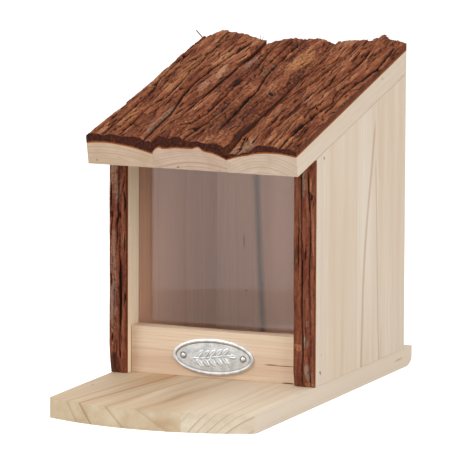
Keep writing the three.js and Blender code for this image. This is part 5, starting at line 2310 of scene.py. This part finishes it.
@dataclass
class Studio:
    """The plain pale floor, the soft light and the camera."""

    azimuth: float = 22.5527
    elevation: float = 8.9656
    roll: float = 0.2225
    target: Point = (-15.93, 38.0, 86.48)
    distance: float = 3720.0
    lens: float = 510.19
    sensor: float = 36.0
    clip: tuple[float, float] = (0.1, 100.0)
    floor_half: float = 6.0
    paper: str = "#e6e6e6"
    glow: float = 0.62
    fill: float = 0.5
    # A warm strip of floor that only reflections show: a painted reflection in the window pane.
    mirrored: str = "#aa9b8e"
    mirrored_corner: Point = (-0.1799, -0.3209, 0.0)
    mirrored_way: Point = (0.4044, 0.9147, 0.0)
    mirrored_start: tuple[float, float] = (-0.004, 0.004)
    mirrored_end: tuple[float, float] = (0.12, 0.132)
    lamp_target: Point = (0.0, 0.0, 0.09)
    lamps: tuple[Softbox, ...] = (
        Softbox("key_softbox", (-0.9, -1.3, 1.3), 1.0, 17.0),
        Softbox("fill_softbox", (1.6, -0.7, 0.9), 1.2, 13.0),
        Softbox("top_softbox", (0.1, 0.2, 1.7), 1.0, 8.0),
    )

    def build(self) -> None:
        """Build the floor, world, lamps and camera."""
        self.build_floor()
        self.build_world()
        self.build_lamps()
        self.build_camera()

    def build_camera(self) -> None:
        """Stand the camera at the photograph's viewpoint."""
        azimuth, elevation, roll = np.radians((self.azimuth, self.elevation, self.roll)).tolist()
        level = math.cos(elevation)
        back = Vector((math.sin(azimuth) * level, -math.cos(azimuth) * level, math.sin(elevation)))
        right = Vector((0, 0, 1)).cross(back).normalized()
        up = back.cross(right)
        rolled_right = right * math.cos(roll) + up * math.sin(roll)
        rolled_up = up * math.cos(roll) - right * math.sin(roll)
        data = bpy.data.cameras.new("camera")
        data.lens, data.sensor_width = self.lens, self.sensor
        data.clip_start, data.clip_end = self.clip
        camera = bpy.data.objects.new("camera", data)
        turn = Matrix((rolled_right, rolled_up, back)).transposed().to_4x4()
        place = (Vector(self.target) + back * self.distance) * MM
        camera.matrix_world = Matrix.Translation(place) @ turn
        bpy.context.scene.collection.objects.link(camera)
        bpy.context.scene.camera = camera

    def build_floor(self) -> None:
        """Lay a wide pale floor that shows white and keeps the soft shadow."""
        half = self.floor_half
        mesh = bpy.data.meshes.new("studio_floor")
        corners = [(-half, -half, 0), (half, -half, 0), (half, half, 0), (-half, half, 0)]
        mesh.from_pydata(corners, [], [(0, 1, 2, 3)])
        material, tree = new_material("studio_paper")
        paper = add_node(tree, "ShaderNodeBsdfDiffuse", {"Color": linear(self.paper)})
        path = add_node(tree, "ShaderNodeLightPath").outputs
        shares = (self.mirrored_share(tree, path["Is Glossy Ray"]), (1, 1, 1, 1), linear(self.mirrored))
        glow = add_node(tree, MIX, shares, **COLOURS)
        white = add_node(tree, "ShaderNodeEmission", {"Color": glow, "Strength": self.glow})
        seen = add_node(tree, "ShaderNodeAddShader", (paper, white))
        mixed = add_node(tree, "ShaderNodeMixShader", (self.looked(tree, path), paper, seen))
        add_node(tree, "ShaderNodeOutputMaterial", {"Surface": mixed})
        link_mesh("studio_floor", mesh, material)

    def mirrored_share(self, tree: Tree, glossy: Feed) -> Feed:
        """Find the strip in front of the object where the floor glows warm only into reflections, a painted
        reflection for the pane.

        Args:
            tree: The floor's tree.
            glossy: Whether a ray comes from a mirror.

        Returns:
            The strip's share.
        """
        place = add_node(tree, "ShaderNodeTexCoord").outputs["Object"]
        away = add_node(tree, VECTOR_MATH, (place, self.mirrored_corner), operation="SUBTRACT")
        across = add_node(tree, VECTOR_MATH, (away, self.mirrored_way), operation="DOT_PRODUCT")
        started = add_node(tree, RANGE, (across, *self.mirrored_start, 0.0, 1.0))
        going_on = add_node(tree, RANGE, (across, *self.mirrored_end, 1.0, 0.0))
        near = add_node(tree, MATH, (glossy, going_on), **TIMES)
        return add_node(tree, MATH, (near, started), **TIMES)

    @staticmethod
    def looked(tree: Tree, path: bpy.types.bpy_prop_collection) -> Feed:
        """Find rays that come from the camera, a mirror or a clear piece."""
        seen = add_node(tree, MATH, (path["Is Camera Ray"], path["Is Glossy Ray"]), operation="MAXIMUM")
        return add_node(tree, MATH, (seen, path["Is Transmission Ray"]), operation="MAXIMUM")

    def build_world(self) -> None:
        """Surround the object with even light, seen as white."""
        world = bpy.data.worlds.new("studio")
        bpy.context.scene.world = world
        world.use_nodes = True
        tree = world.node_tree
        tree.nodes.clear()
        looked = self.looked(tree, add_node(tree, "ShaderNodeLightPath").outputs)
        fill = add_node(tree, "ShaderNodeBackground", {"Color": (1, 1, 1, 1), "Strength": self.fill})
        white = add_node(tree, "ShaderNodeBackground", {"Color": (1, 1, 1, 1), "Strength": 1.0})
        mixed = add_node(tree, "ShaderNodeMixShader", (looked, fill, white))
        add_node(tree, "ShaderNodeOutputWorld", {"Surface": mixed})

    def build_lamps(self) -> None:
        """Hang three large soft boxes: over the front left, over the right, and overhead."""
        for softbox in self.lamps:
            data = bpy.data.lights.new(softbox.name, "AREA")
            data.shape, data.size, data.energy = "SQUARE", softbox.side, softbox.power
            lamp = bpy.data.objects.new(softbox.name, data)
            lamp.location = softbox.place
            lamp.rotation_mode = "QUATERNION"
            way = Vector(self.lamp_target) - Vector(softbox.place)
            lamp.rotation_quaternion = way.to_track_quat("-Z", "Y")
            bpy.context.scene.collection.objects.link(lamp)


def main() -> None:
    """Build every sub-assembly in order and report the pieces."""
    bpy.context.scene.view_settings.view_transform = "Standard"
    Studio().build()
    for part in (Base(), Carcass(), Window(), PostBarks(), Lid(), Fittings()):
        for piece in part.build():
            log.info("%s: built %s", type(part).__name__, piece.name)


if __name__ == "__main__":
    logging.basicConfig(level=logging.INFO, format="%(name)s: %(message)s")
    main()
